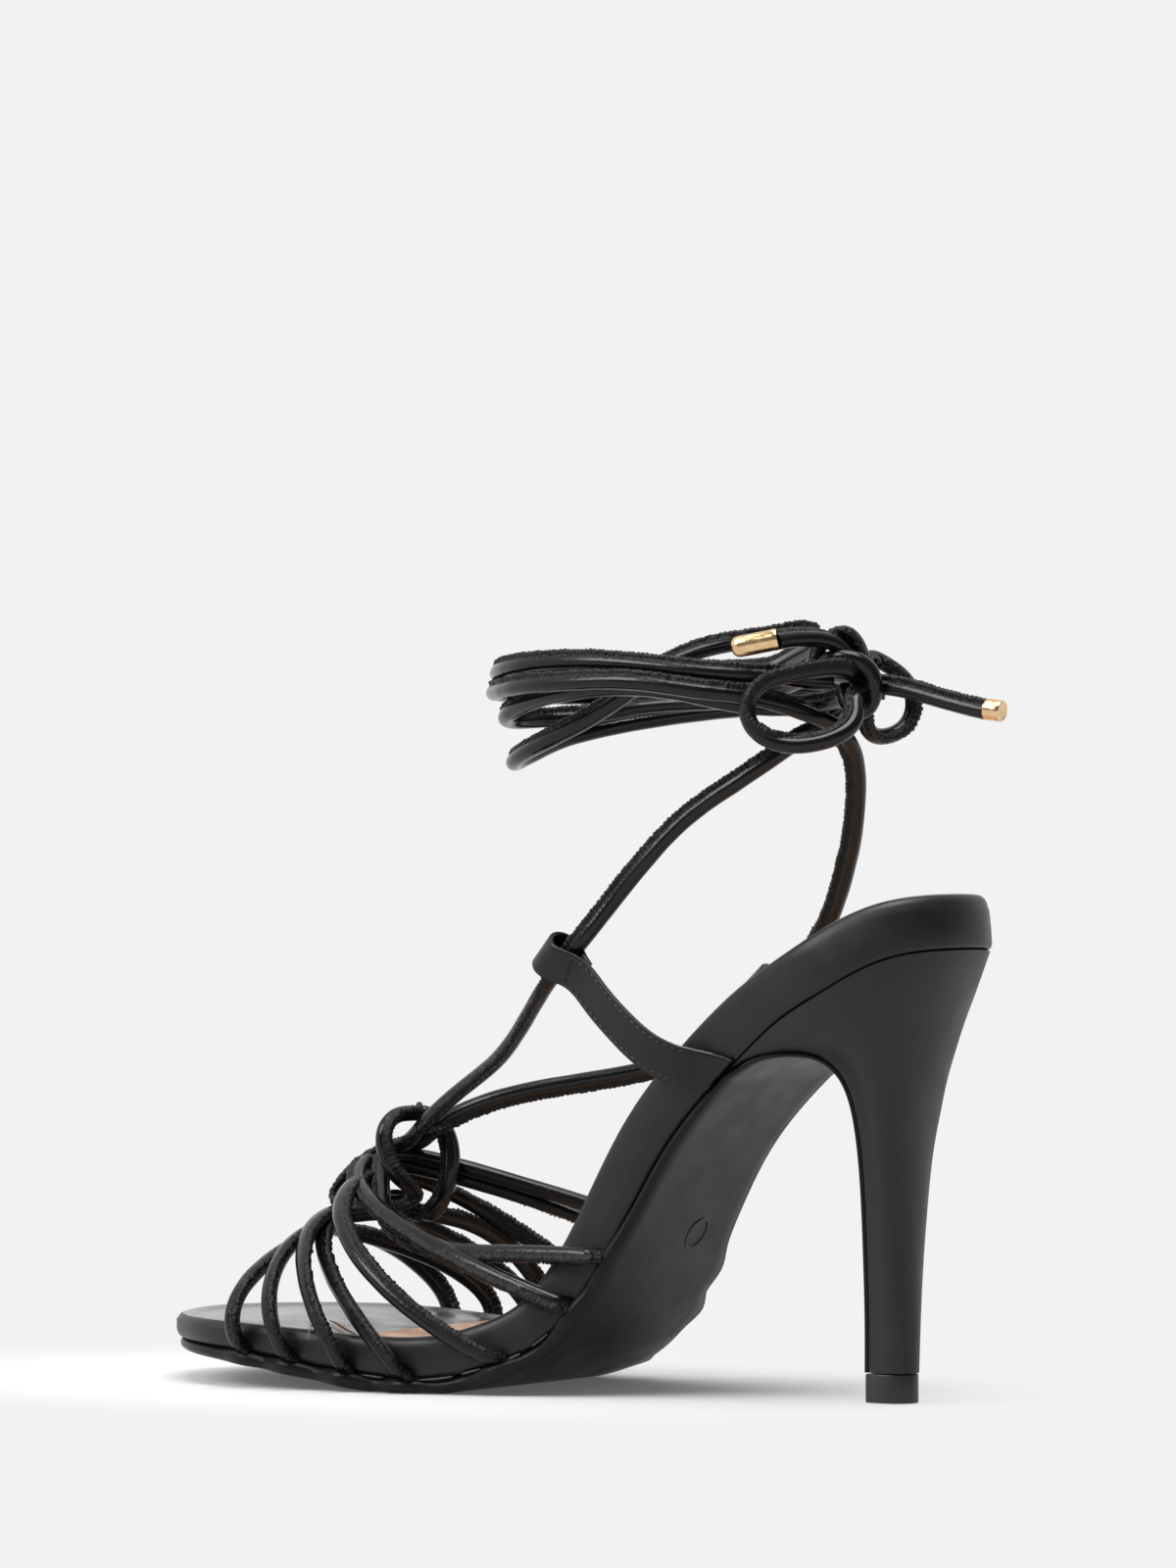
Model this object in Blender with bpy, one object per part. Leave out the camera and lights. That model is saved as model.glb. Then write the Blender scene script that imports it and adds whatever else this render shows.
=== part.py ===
"""A strappy high-heeled sandal, left shoe, as separate solids on heel tip and forefoot.

Shoe sizes are in millimetres: x across the shoe (outer side positive), u along it from the back
of the heel to the toe, z up from the floor. place() turns them into metres, with the toe at -Y.
"""
import math

import bmesh
import bpy
import numpy as np
from mathutils import Vector

# Driving sizes, in millimetres
MM = 0.001
LENGTH = 201.0
MIDDLE_U = 100.5
MIDDLE_X = -0.5
GAP = 0.3
HEEL_BACK = 1.8
HEEL_ROUND = 30.0
TOE_ROUND = 34.0
TOE_APEX = -7.0
TOE_CURVE_START = 140.0
ROUND_POWER = 2.3
SOLE_STATIONS = 44

# Footbed sections: place along the shoe, underside height, outer and inner half width, rim height
SOLE_COLUMNS = ("along", "underside", "outer", "inner", "rim")
SOLE_ROWS = (
    (0.0, 95.2, 26.1, 24.5, 11.2),
    (12.0, 93.2, 26.1, 25.7, 11.2),
    (26.0, 85.9, 26.0, 26.2, 11.3),
    (40.0, 77.6, 24.1, 25.0, 11.6),
    (54.0, 66.0, 21.9, 22.3, 11.9),
    (68.0, 49.7, 21.8, 21.3, 11.7),
    (80.5, 28.0, 23.0, 23.3, 11.0),
    (92.5, 12.7, 25.4, 27.0, 10.3),
    (104.5, 6.1, 28.3, 30.0, 9.8),
    (116.5, 3.1, 30.8, 32.3, 9.5),
    (130.5, 3.0, 33.2, 34.8, 8.8),
    (146.5, 5.2, 35.8, 37.0, 7.6),
    (165.0, 7.6, 36.7, 37.5, 6.4),
    (183.0, 8.8, 33.3, 34.4, 5.7),
    (201.0, 9.3, 27.9, 29.8, 5.2),
)
# Rim section: inset from the outline, share of the rim height, offset from that height
RIM_ROWS = ((1.0, 0, 0.0), (0.0, 0, 1.2), (0.0, 1, -2.6), (0.8, 1, -0.8), (2.6, 1, 0.0))

# Outsole: sheet thickness along the shoe, edge beyond the footbed and swell over each strap foot
OUTSOLE_THICKNESS = ((50.0, 1.3), (62.0, 1.9), (90.0, 2.4), (110.0, 3.0), (170.0, 3.0), (201.0, 2.6))
OUTSOLE_REAR = 51.0
OUTSOLE_EDGE = 0.3
OUTSOLE_SWELL = 2.2
OUTSOLE_SWELL_LENGTH = 4.5
OUTSOLE_WAIST = 60.0
SHEET_EASE_TOP = 0.4
SHEET_EASE_SIDE = 0.7
FLAP_THICKNESS = 1.1

# Sock lining: lift, thickness, inset from the rim, where it starts and where its front edge crosses
SOCK_LIFT = 0.5
SOCK_THICKNESS = 0.8
SOCK_INSET = 4.0
SOCK_REAR = 6.6
SOCK_FRONT_OUTER = 133.0
SOCK_FRONT_INNER = 143.0

# Heel sections from the seat down: breast place and height, back place and height, half widths
HEEL_COLUMNS = ("breast", "breast_z", "back", "back_z", "breast_half", "half")
HEEL_ROWS = (
    (43.6, 72.6, 6.0, 88.0, 20.4, 23.4),
    (36.4, 73.6, 8.8, 81.0, 18.4, 20.6),
    (31.2, 72.6, 10.8, 74.5, 16.0, 17.6),
    (27.8, 69.6, 12.6, 68.0, 13.9, 15.0),
    (25.8, 64.8, 14.0, 61.0, 12.2, 13.0),
    (24.9, 57.5, 15.2, 53.5, 10.4, 11.0),
    (24.7, 46.0, 16.1, 42.0, 8.4, 8.9),
    (25.0, 31.5, 16.6, 29.0, 6.6, 7.0),
    (25.4, 18.0, 16.8, 17.0, 5.2, 5.6),
    (25.9, 6.3, 16.9, 6.3, 4.3, 4.7),
)
HEEL = [dict(zip(HEEL_COLUMNS, row)) for row in HEEL_ROWS]
SEAT_FRONT = 50.0
SEAT_BACK = 2.6
SEAT_INSET = 0.7
HEEL_WIDEST = 0.6
HEEL_STATIONS = 9
TOP_PIECE_HEIGHT = 6.0
TOP_PIECE_EDGE = 0.25
TOP_PIECE_EASE = 0.6
TOP_PIECE_TUCK = 0.2

# Vamp straps, front to back: feet and leans at both sides, crest place, run over the crest, reach
STRAP_COLUMNS = ("outer_foot", "outer_lean", "inner_foot", "inner_lean", "crest_x", "crest_u", "crest_z",
                 "run_u", "run_z", "outer_reach", "inner_reach")
STRAP_ROWS = (
    (163.7, 0.0, 160.4, 0.3, -5.0, 169.6, 32.6, -0.3, -0.04, 0.31, 0.59),
    (151.9, 0.2, 149.9, -0.2, -5.0, 168.1, 32.8, -0.17, 0.12, 0.48, 0.57),
    (138.4, 0.2, 136.0, 0.2, -5.0, 165.4, 36.9, 0.02, -0.08, 0.54, 0.57),
    (124.6, 0.6, 118.3, 2.8, -5.0, 164.5, 35.8, 0.87, -0.16, 0.22, 1.15),
    (103.8, 2.8, 101.0, 1.2, -5.0, 157.0, 46.3, -0.02, 0.13, 1.22, 1.0),
    (88.8, 2.8, 85.7, 1.6, -5.0, 159.6, 47.5, -0.09, -0.32, 0.61, 0.27),
    (80.2, 20.0, 79.2, 8.0, -5.0, 155.4, 48.3, -0.5, -0.65, 1.0, 0.37),
)
STRAP_RADIUS = 2.2
STRAP_SIDES = 8
STRAP_STEPS = 12
STRAP_FOOT_HEIGHT = 2.6
STRAP_RISE = 0.343
STRAP_BULGE = 0.64

# Loop straps: middle line from the rim to the eye, band size, eye size and the eye's axis
BAND_WIDTH = 8.4
BAND_THICKNESS = 1.8
EYE_BORE = 3.3
EYE_WALL = 0.9
EYE_SIDES = 16
OUTER_BAND = ((23.7, 51.5, 69.6), (25.5, 57.1, 70.3), (27.0, 64.6, 72.6), (27.0, 73.3, 78.4),
              (26.3, 80.2, 84.2), (25.2, 85.6, 88.8))
OUTER_EYE = (24.0, 90.4, 91.6)
OUTER_EYE_AXIS = (0.22, -0.7, 0.68)
INNER_BAND = ((-25.3, 51.0, 69.6), (-26.2, 55.4, 72.6), (-26.9, 59.8, 76.4), (-27.1, 65.0, 81.6))
INNER_EYE = (-27.0, 69.6, 86.4)
INNER_EYE_AXIS = (0.03, -0.74, 0.67)

# Lace: one rolled cord in two halves from the hitch on the straps to the knot behind the ankle
LACE_RADIUS = 2.2
LACE_SIDES = 8
LACE_POINTS = 84
HITCH_END = 14
HITCH_POINTS = 30
HITCH_TOP = (-5.0, 145.6, 58.8)
HITCH_JOINT_RADIUS = 2.7
OUTER_LACE = (
    # Hitch: down inside the straps, out in front of the fifth strap and back over the crest
    (-4.2, 145.8, 59.0), (0.8, 147.4, 58.4), (4.4, 148.2, 54.8), (4.6, 147.6, 49.6), (3.0, 145.0, 44.6),
    (-0.8, 143.8, 41.2), (-2.0, 148.0, 38.8), (-3.0, 154.2, 38.8), (-3.6, 158.4, 39.6),
    (-4.8, 162.2, 41.4), (-6.4, 164.0, 45.4), (-8.2, 164.4, 50.0), (-9.0, 160.6, 54.0),
    (-6.4, 153.6, 54.4), (-0.4, 145.6, 53.6),
    # Run to the outer eye and up to the back of the ankle
    (1.8, 138.8, 57.2), (4.0, 129.6, 63.4), (9.6, 114.8, 71.6), (15.0, 105.6, 78.5), (20.6, 97.2, 85.6),
    (24.0, 90.4, 91.6), (24.8, 84.6, 97.0), (23.0, 78.5, 104.7), (21.0, 69.9, 115.0), (18.5, 62.0, 123.1),
    (16.0, 51.4, 130.4), (12.0, 44.0, 136.1), (7.0, 40.2, 140.0), (0.0, 38.8, 142.2),
    # Turn round the far side to the front, low, and back up on the near side
    (-10.0, 41.4, 144.2), (-20.0, 49.0, 145.6), (-27.7, 62.4, 146.3), (-29.0, 76.3, 146.7),
    (-26.8, 93.0, 146.2), (-20.6, 107.2, 144.2), (-11.0, 114.6, 140.6), (0.0, 116.2, 136.6),
    (10.0, 110.0, 137.0), (15.6, 100.0, 139.8), (17.4, 85.9, 145.2), (17.6, 74.8, 151.4),
    (17.0, 63.0, 157.9), (14.0, 46.0, 161.9), (7.0, 34.4, 163.0),
    # Second turn at the top and the end at the knot
    (-2.0, 33.6, 161.6), (-14.0, 44.0, 159.0), (-23.0, 56.0, 156.8), (-26.2, 68.0, 156.4),
    (-25.6, 88.8, 156.8), (-20.7, 104.0, 157.4), (-11.0, 114.2, 157.4), (0.0, 117.8, 156.8),
    (13.0, 111.6, 157.2), (23.6, 100.4, 157.7), (27.4, 86.0, 157.7), (27.8, 71.0, 156.4),
    (25.0, 55.5, 154.2), (17.7, 39.9, 152.4), (9.0, 32.0, 151.6),
)
INNER_LACE = (
    # Hitch: a loose limb inside the straps, out in front of the fifth strap and back over the crest
    (-5.8, 145.4, 59.0), (-9.2, 143.2, 56.6), (-10.2, 141.0, 51.4), (-9.8, 140.8, 45.4), (-9.4, 142.6, 39.8),
    (-9.0, 145.8, 36.4), (-8.6, 149.2, 36.8), (-8.4, 152.8, 39.2), (-8.5, 156.6, 40.4), (-9.5, 160.2, 41.8),
    (-11.2, 162.2, 45.4), (-13.2, 162.0, 50.0), (-13.8, 158.0, 53.8), (-10.8, 151.0, 54.0), (-5.2, 144.4, 53.2),
    # Run to the inner eye and up to the back of the ankle
    (-3.6, 138.0, 55.6), (-6.2, 126.6, 60.6), (-13.0, 111.3, 65.2), (-18.0, 99.2, 67.4), (-22.4, 88.2, 70.6),
    (-25.6, 79.0, 76.8), (-27.0, 69.6, 86.4), (-26.6, 63.2, 91.6), (-25.0, 57.0, 95.4), (-21.4, 50.4, 101.2),
    (-16.0, 43.3, 111.6), (-11.0, 38.3, 120.4), (-6.0, 34.7, 129.3), (-0.6, 32.6, 136.4),
    # Turn round the near side to the front
    (6.0, 32.8, 141.4), (13.6, 36.0, 145.0), (21.0, 42.6, 147.8), (27.0, 54.0, 149.6), (30.5, 67.7, 151.6),
    (30.8, 80.9, 151.9), (27.8, 96.7, 151.6), (17.0, 109.6, 151.4), (0.0, 119.4, 151.6),
    (-13.0, 113.2, 151.4), (-22.0, 104.4, 151.6), (-28.0, 89.9, 151.6), (-29.0, 67.9, 151.4),
    # Second turn, lower at the front, and the end at the knot
    (-19.0, 46.0, 150.2), (-3.0, 38.4, 148.0), (9.0, 40.6, 146.4), (18.0, 48.0, 146.6), (22.6, 59.7, 149.2),
    (23.6, 76.0, 150.8), (22.0, 89.2, 150.8), (17.0, 101.8, 149.2), (9.6, 111.6, 147.0), (0.0, 116.2, 145.6),
    (-9.0, 114.8, 145.6), (-16.5, 106.4, 147.2), (-20.6, 96.8, 149.0), (-22.2, 82.0, 149.6),
    (-20.6, 66.0, 150.8), (-14.0, 51.0, 154.0), (-7.0, 39.4, 153.8), (-2.8, 32.2, 152.6),
)

# Bow behind the ankle: knot, two loops, two ends and their metal tips
KNOT_CENTRE = (4.0, 27.4, 151.0)
KNOT_RADII = (5.5, 5.2, 6.4)
KNOT_RINGS = 10
KNOT_SIDES = 14
BOW_POINTS = 26
OUTER_BOW = ((10.8, 27.2, 153.6), (15.0, 30.2, 153.8), (20.5, 33.9, 152.7), (24.4, 39.0, 150.8),
             (27.2, 41.8, 146.4), (27.2, 40.8, 141.8), (25.4, 36.2, 138.4), (21.6, 30.2, 138.0),
             (17.8, 25.2, 140.0), (14.0, 24.0, 143.4), (11.4, 25.2, 147.2))
INNER_BOW = ((-1.6, 25.4, 156.6), (-5.0, 25.0, 155.4), (-7.8, 24.4, 152.6), (-9.8, 23.0, 147.0),
             (-8.8, 23.6, 142.6), (-5.6, 25.8, 140.2), (-1.6, 27.6, 140.2), (1.6, 27.8, 142.8))
FRONT_END = ((6.2, 26.8, 158.4), (9.6, 25.8, 160.8), (14.6, 26.6, 161.2), (20.0, 32.0, 160.6),
             (23.4, 37.4, 159.6))
BACK_END = ((3.6, 21.2, 150.4), (3.2, 13.4, 148.7), (4.0, 4.2, 146.2), (4.0, -1.1, 144.8))
FRONT_TIP = (27.2, 45.6, 157.7)
BACK_TIP = (4.0, -6.8, 144.2)
TIP_RADIUS = 2.3
TIP_GAP = 0.9
TIP_SIDES = 12


def spline(knots, values):
    """Natural cubic curve through values at the knots, as a function."""
    x = np.asarray(knots, dtype=float)
    y = np.asarray(values, dtype=float)
    step = np.diff(x)
    count = len(x)
    matrix = np.eye(count)
    rhs = np.zeros(count)
    for i in range(1, count - 1):
        matrix[i, i - 1] = step[i - 1]
        matrix[i, i] = 2 * (step[i - 1] + step[i])
        matrix[i, i + 1] = step[i]
        rhs[i] = 6 * ((y[i + 1] - y[i]) / step[i] - (y[i] - y[i - 1]) / step[i - 1])
    bend = np.linalg.solve(matrix, rhs)

    def value(at):
        at = np.clip(at, x[0], x[-1])
        i = np.clip(np.searchsorted(x, at) - 1, 0, count - 2)
        left = (x[i + 1] - at) / step[i]
        right = 1 - left
        curve = (left ** 3 - left) * bend[i] + (right ** 3 - right) * bend[i + 1]
        return left * y[i] + right * y[i + 1] + curve * step[i] ** 2 / 6
    return value


SOLE = {name: spline([row[0] for row in SOLE_ROWS], [row[k] for row in SOLE_ROWS])
        for k, name in enumerate(SOLE_COLUMNS)}


def smooth_step(t):
    t = min(max(t, 0.0), 1.0)
    return t * t * (3 - 2 * t)


def end_round(distance, length):
    """Share of the full width at a distance from a rounded end."""
    rest = min(max(1 - distance / length, 0.0), 1.0)
    return math.sqrt(max(1 - rest ** ROUND_POWER, 0.0))


def sole_edges(u):
    """Outer and inner edge of the footbed at a place along the shoe."""
    middle = TOE_APEX * smooth_step((u - TOE_CURVE_START) / (LENGTH - TOE_CURVE_START))
    share = end_round(u - HEEL_BACK, HEEL_ROUND) * end_round(LENGTH - u, TOE_ROUND)
    outer = middle + (float(SOLE["outer"](u)) - middle) * share
    inner = middle - (float(SOLE["inner"](u)) + middle) * share
    return outer, inner


def sole_normal(u):
    """Direction in (u, z) that points up out of the footbed."""
    slope = float(SOLE["underside"](u + 0.5) - SOLE["underside"](u - 0.5))
    size = math.hypot(1.0, slope)
    return -slope / size, 1.0 / size


def on_sole(x, u, height):
    """Point at a height over the footbed's underside, along its normal."""
    along, up = sole_normal(u)
    return (x, u + height * along, float(SOLE["underside"](u)) + height * up)


def stations():
    """Places along the shoe for its sections, close together at heel and toe."""
    shares = [0.5 - 0.5 * math.cos(math.pi * i / SOLE_STATIONS) for i in range(SOLE_STATIONS + 1)]
    return [HEEL_BACK + (LENGTH - HEEL_BACK) * share for share in shares]


def outline(inset):
    """Closed outline of the footbed in (x, u): heel back, outer side, toe, inner side."""
    places = stations()
    outer = [(sole_edges(u)[0], u) for u in places]
    inner = [(sole_edges(u)[1], u) for u in places[1:-1]]
    points = np.array(outer + inner[::-1])
    tangent = np.roll(points, -1, axis=0) - np.roll(points, 1, axis=0)
    tangent /= np.linalg.norm(tangent, axis=1)[:, None]
    outward = np.stack([tangent[:, 1], -tangent[:, 0]], axis=1)
    return points - inset * outward


def place(point):
    x, u, z = point
    return Vector(((x - MIDDLE_X) * MM, (MIDDLE_U - u) * MM, z * MM))


def material(name, colour, roughness, metallic=0.0):
    """Principled material, made once for each name."""
    made = bpy.data.materials.get(name)
    if made is None:
        made = bpy.data.materials.new(name)
        made.use_nodes = True
        shader = made.node_tree.nodes["Principled BSDF"]
        shader.inputs["Base Color"].default_value = (*colour, 1.0)
        shader.inputs["Roughness"].default_value = roughness
        shader.inputs["Metallic"].default_value = metallic
    return made


def mesh_object(name, points, faces, finish):
    """Closed mesh with its faces turned outwards, from points in shoe millimetres."""
    bm = bmesh.new()
    verts = [bm.verts.new(place(p)) for p in points]
    for face in faces:
        bm.faces.new([verts[i] for i in face])
    bmesh.ops.recalc_face_normals(bm, faces=bm.faces)
    mesh = bpy.data.meshes.new(name)
    bm.to_mesh(mesh)
    bm.free()
    mesh.shade_smooth()
    mesh.set_sharp_from_angle(angle=math.radians(40))
    mesh.materials.append(finish)
    obj = bpy.data.objects.new(name, mesh)
    bpy.context.scene.collection.objects.link(obj)
    return obj


def ring_faces(ring_count, size):
    """Quads between neighbouring rings of equal size."""
    faces = []
    for r in range(ring_count - 1):
        for k in range(size):
            after = (k + 1) % size
            faces.append((r * size + k, r * size + after, (r + 1) * size + after, (r + 1) * size + k))
    return faces


def loft(name, rings, finish):
    """Solid through rings of equal size, closed with a flat face at both ends."""
    size = len(rings[0])
    points = [p for ring in rings for p in ring]
    faces = ring_faces(len(rings), size)
    faces.append(tuple(range(size))[::-1])
    faces.append(tuple(range((len(rings) - 1) * size, len(rings) * size)))
    return mesh_object(name, points, faces, finish)


def paired_cap(start, size):
    """Cap of a loop whose two sides run in pairs between two end points."""
    half = size // 2
    faces = [(start, start + 1, start + size - 1)]
    for i in range(1, half - 1):
        faces.append((start + i, start + i + 1, start + size - i - 1, start + size - i))
    faces.append((start + half - 1, start + half, start + half + 1))
    return faces


def smooth_path(points, count, tight=0, tight_count=0):
    """Even points on a smooth curve through the given ones, with their own count up to the tight one."""
    given = np.array(points, dtype=float)
    reach = np.concatenate([[0.0], np.cumsum(np.linalg.norm(np.diff(given, axis=0), axis=1))])
    curves = [spline(reach, given[:, k]) for k in range(3)]
    places = np.concatenate([np.linspace(0.0, reach[tight], tight_count, endpoint=False),
                             np.linspace(reach[tight], reach[-1], count)])
    return [tuple(float(c(t)) for c in curves) for t in places]


def sweep_frames(path):
    """Tangent and two side directions at each point, carried along without twist."""
    points = np.array(path, dtype=float)
    tangent = np.gradient(points, axis=0)
    tangent /= np.linalg.norm(tangent, axis=1)[:, None]
    start = np.array((0.0, 0.0, 1.0))
    if abs(tangent[0] @ start) > 0.9:
        start = np.array((1.0, 0.0, 0.0))
    frames = []
    side = start
    for t in tangent:
        side = side - (side @ t) * t
        side = side / np.linalg.norm(side)
        frames.append((t, side, np.cross(t, side)))
    return frames


def tube(name, path, radius, sides, finish):
    """Round cord along a path, with flat ends."""
    rings = []
    for point, (_, side, other) in zip(np.array(path), sweep_frames(path)):
        ring = []
        for k in range(sides):
            angle = 2 * math.pi * k / sides
            ring.append(tuple(point + radius * (math.cos(angle) * side + math.sin(angle) * other)))
        rings.append(ring)
    return loft(name, rings, finish)


def joined(name, pieces):
    """One solid from several overlapping ones: the first keeps the others as union tools."""
    tools = bpy.data.collections.new(name + "_tools")
    bpy.context.scene.collection.children.link(tools)
    for piece in pieces[1:]:
        bpy.context.scene.collection.objects.unlink(piece)
        tools.objects.link(piece)
        piece.hide_render = True
        piece.display_type = "WIRE"
    union = pieces[0].modifiers.new("joined", "BOOLEAN")
    union.operation = "UNION"
    union.operand_type = "COLLECTION"
    union.collection = tools
    pieces[0].name = name
    return pieces[0]


def build_footbed(finish):
    size = 2 * SOLE_STATIONS
    points = []
    for inset, share, offset in RIM_ROWS:
        for x, u in outline(inset):
            rim = float(SOLE["rim"](u))
            points.append(on_sole(x, u, share * rim + offset))
    faces = ring_faces(len(RIM_ROWS), size)
    faces += paired_cap(0, size)
    faces += paired_cap((len(RIM_ROWS) - 1) * size, size)
    return mesh_object("footbed", points, faces, finish)


def strap_swell(u, side):
    """Extra width of the outsole where a strap is tucked in at one side."""
    column = STRAP_COLUMNS.index(side + "_foot")
    feet = [row[column] for row in STRAP_ROWS]
    return OUTSOLE_SWELL * max(math.exp(-((u - foot) / OUTSOLE_SWELL_LENGTH) ** 2) for foot in feet)


def sheet_ring(centre, up, outer, inner, depth, lowest):
    """Section of the outsole: a flat sheet with eased edges, hung below a point on its path."""
    top = SHEET_EASE_TOP
    side = SHEET_EASE_SIDE
    columns = ((outer - top, 0.0), (outer, top), (outer, depth - side), (outer - side, depth),
               (inner + side, depth), (inner, depth - side), (inner, top), (inner + top, 0.0))
    ring = []
    for x, down in columns:
        ring.append((x, centre[0] - down * up[0], max(centre[1] - down * up[1], lowest)))
    return ring


def build_outsole(finish):
    thickness = spline([row[0] for row in OUTSOLE_THICKNESS], [row[1] for row in OUTSOLE_THICKNESS])
    middle = [u for u in stations()[-2::-1] if u > OUTSOLE_REAR + 1.0]
    rings = []
    for u in middle + [OUTSOLE_REAR]:
        outer, inner = sole_edges(u)
        edge = OUTSOLE_EDGE * smooth_step((u - OUTSOLE_REAR) / (OUTSOLE_WAIST - OUTSOLE_REAR))
        outer += edge + strap_swell(u, "outer")
        inner -= edge + strap_swell(u, "inner")
        seat_gap = GAP * (1 - smooth_step((u - OUTSOLE_REAR) / (OUTSOLE_WAIST - OUTSOLE_REAR)))
        _, along, height = on_sole(0.0, u, -GAP - seat_gap)
        rings.append(sheet_ring((along, height), sole_normal(u), outer, inner, float(thickness(u)), 0.0))
    breast = [np.array((row["breast"], row["breast_z"])) for row in HEEL]
    halves = [row["breast_half"] for row in HEEL]
    path = [np.array((SEAT_FRONT, float(SOLE["underside"](SEAT_FRONT)) - GAP))] + breast
    for i, half in enumerate(halves):
        after = path[min(i + 2, len(path) - 1)]
        run = after - path[i]
        run = run / np.linalg.norm(run)
        up = np.array((run[1], -run[0]))
        centre = path[i + 1] - GAP * up
        rings.append(sheet_ring(centre, up, half, -half, FLAP_THICKNESS, TOP_PIECE_HEIGHT + GAP))
    return loft("outsole", rings, finish)


def build_sock_lining(finish):
    rings = []
    for i in range(SOLE_STATIONS + 1):
        share = 1 - math.cos(0.5 * math.pi * i / SOLE_STATIONS)
        ring = []
        for lift in (SOCK_LIFT, SOCK_LIFT + SOCK_THICKNESS):
            for side, front in ((0, SOCK_FRONT_OUTER), (1, SOCK_FRONT_INNER)):
                u = SOCK_REAR + share * (front - SOCK_REAR)
                narrow = end_round(u - SOCK_REAR + 0.3, HEEL_ROUND - SOCK_REAR)
                edge = sole_edges(max(u, HEEL_ROUND))[side]
                x = (edge - math.copysign(SOCK_INSET, edge)) * narrow
                ring.append(on_sole(x, u, float(SOLE["rim"](u)) + lift))
        rings.append([ring[0], ring[1], ring[3], ring[2]])
    return loft("sock_lining", rings, finish)


def heel_half(t, breast_half, half):
    """Half width of a heel section at a share of the way from its back to its breast."""
    if t < HEEL_WIDEST:
        return half * end_round(t, HEEL_WIDEST)
    return half + (breast_half - half) * smooth_step((t - HEEL_WIDEST) / (1 - HEEL_WIDEST))


def heel_ring(back, breast, halves):
    """Points of a heel section: back point, outer side, breast point, inner side."""
    shares = [1 - math.cos(0.5 * math.pi * i / HEEL_STATIONS) for i in range(1, HEEL_STATIONS + 1)]
    sides = [(heel_half(t, *halves), t) for t in shares]
    plan = [(0.0, 0.0)] + sides + [(0.0, 1.0)] + [(-x, t) for x, t in sides[::-1]]
    return [(x, back[0] + t * (breast[0] - back[0]), back[1] + t * (breast[1] - back[1])) for x, t in plan]


def build_heel(finish):
    seat_half = float(SOLE["outer"](HEEL_ROUND)) - SEAT_INSET
    breast_half = min(sole_edges(SEAT_FRONT)[0], -sole_edges(SEAT_FRONT)[1]) - SEAT_INSET
    seat = heel_ring((SEAT_BACK, 0.0), (SEAT_FRONT, 0.0), (breast_half, seat_half))
    rings = [[on_sole(x, u, -GAP) for x, u, _ in seat]]
    for row in HEEL:
        back = (row["back"], row["back_z"])
        breast = (row["breast"], row["breast_z"])
        rings.append(heel_ring(back, breast, (row["breast_half"], row["half"])))
    size = len(rings[0])
    points = [p for ring in rings for p in ring]
    faces = ring_faces(len(rings), size)
    faces += paired_cap(0, size)
    faces += paired_cap((len(rings) - 1) * size, size)
    return mesh_object("heel", points, faces, finish)


def build_top_piece(finish):
    last = HEEL[-1]
    rings = []
    levels = ((TOP_PIECE_HEIGHT, TOP_PIECE_EDGE), (TOP_PIECE_EASE, TOP_PIECE_EDGE), (0.0, -TOP_PIECE_TUCK))
    for z, edge in levels:
        back = (last["back"] - edge, z)
        breast = (last["breast"] + FLAP_THICKNESS + GAP + edge, z)
        rings.append(heel_ring(back, breast, (last["breast_half"] + edge, last["half"] + edge)))
    return loft("top_piece", rings, finish)


def strap_foot(u, side):
    """Where a strap stands against the rim: outside it, low over the outsole."""
    outer, inner = sole_edges(u)
    off = STRAP_RADIUS + GAP
    x = outer + off if side > 0 else inner - off
    return np.array(on_sole(x, u, STRAP_FOOT_HEIGHT))


def strap_half(row, side):
    """Points of one half of a strap, from its foot to its crest, on a cubic curve."""
    strap = dict(zip(STRAP_COLUMNS, row))
    word = "outer" if side > 0 else "inner"
    foot = strap_foot(strap[word + "_foot"], side)
    crest = np.array((strap["crest_x"], strap["crest_u"], strap["crest_z"]))
    leave = np.array((side * STRAP_BULGE, strap[word + "_lean"], 1.0))
    leave *= STRAP_RISE * np.linalg.norm(crest - foot) / np.linalg.norm(leave)
    over = side * np.array((1.0, strap["run_u"], strap["run_z"]))
    over *= strap[word + "_reach"] * abs(foot[0] - crest[0])
    points = []
    for i in range(STRAP_STEPS + 1):
        t = i / STRAP_STEPS
        rest = 1 - t
        points.append(rest ** 3 * foot + 3 * rest * rest * t * (foot + leave)
                      + 3 * rest * t * t * (crest + over) + t ** 3 * crest)
    return points


def build_upper(finish):
    straps = []
    for number, row in enumerate(STRAP_ROWS, start=1):
        path = strap_half(row, 1) + strap_half(row, -1)[-2::-1]
        straps.append(tube("strap_%d" % number, path, STRAP_RADIUS, STRAP_SIDES, finish))
    return joined("upper", straps)


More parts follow.
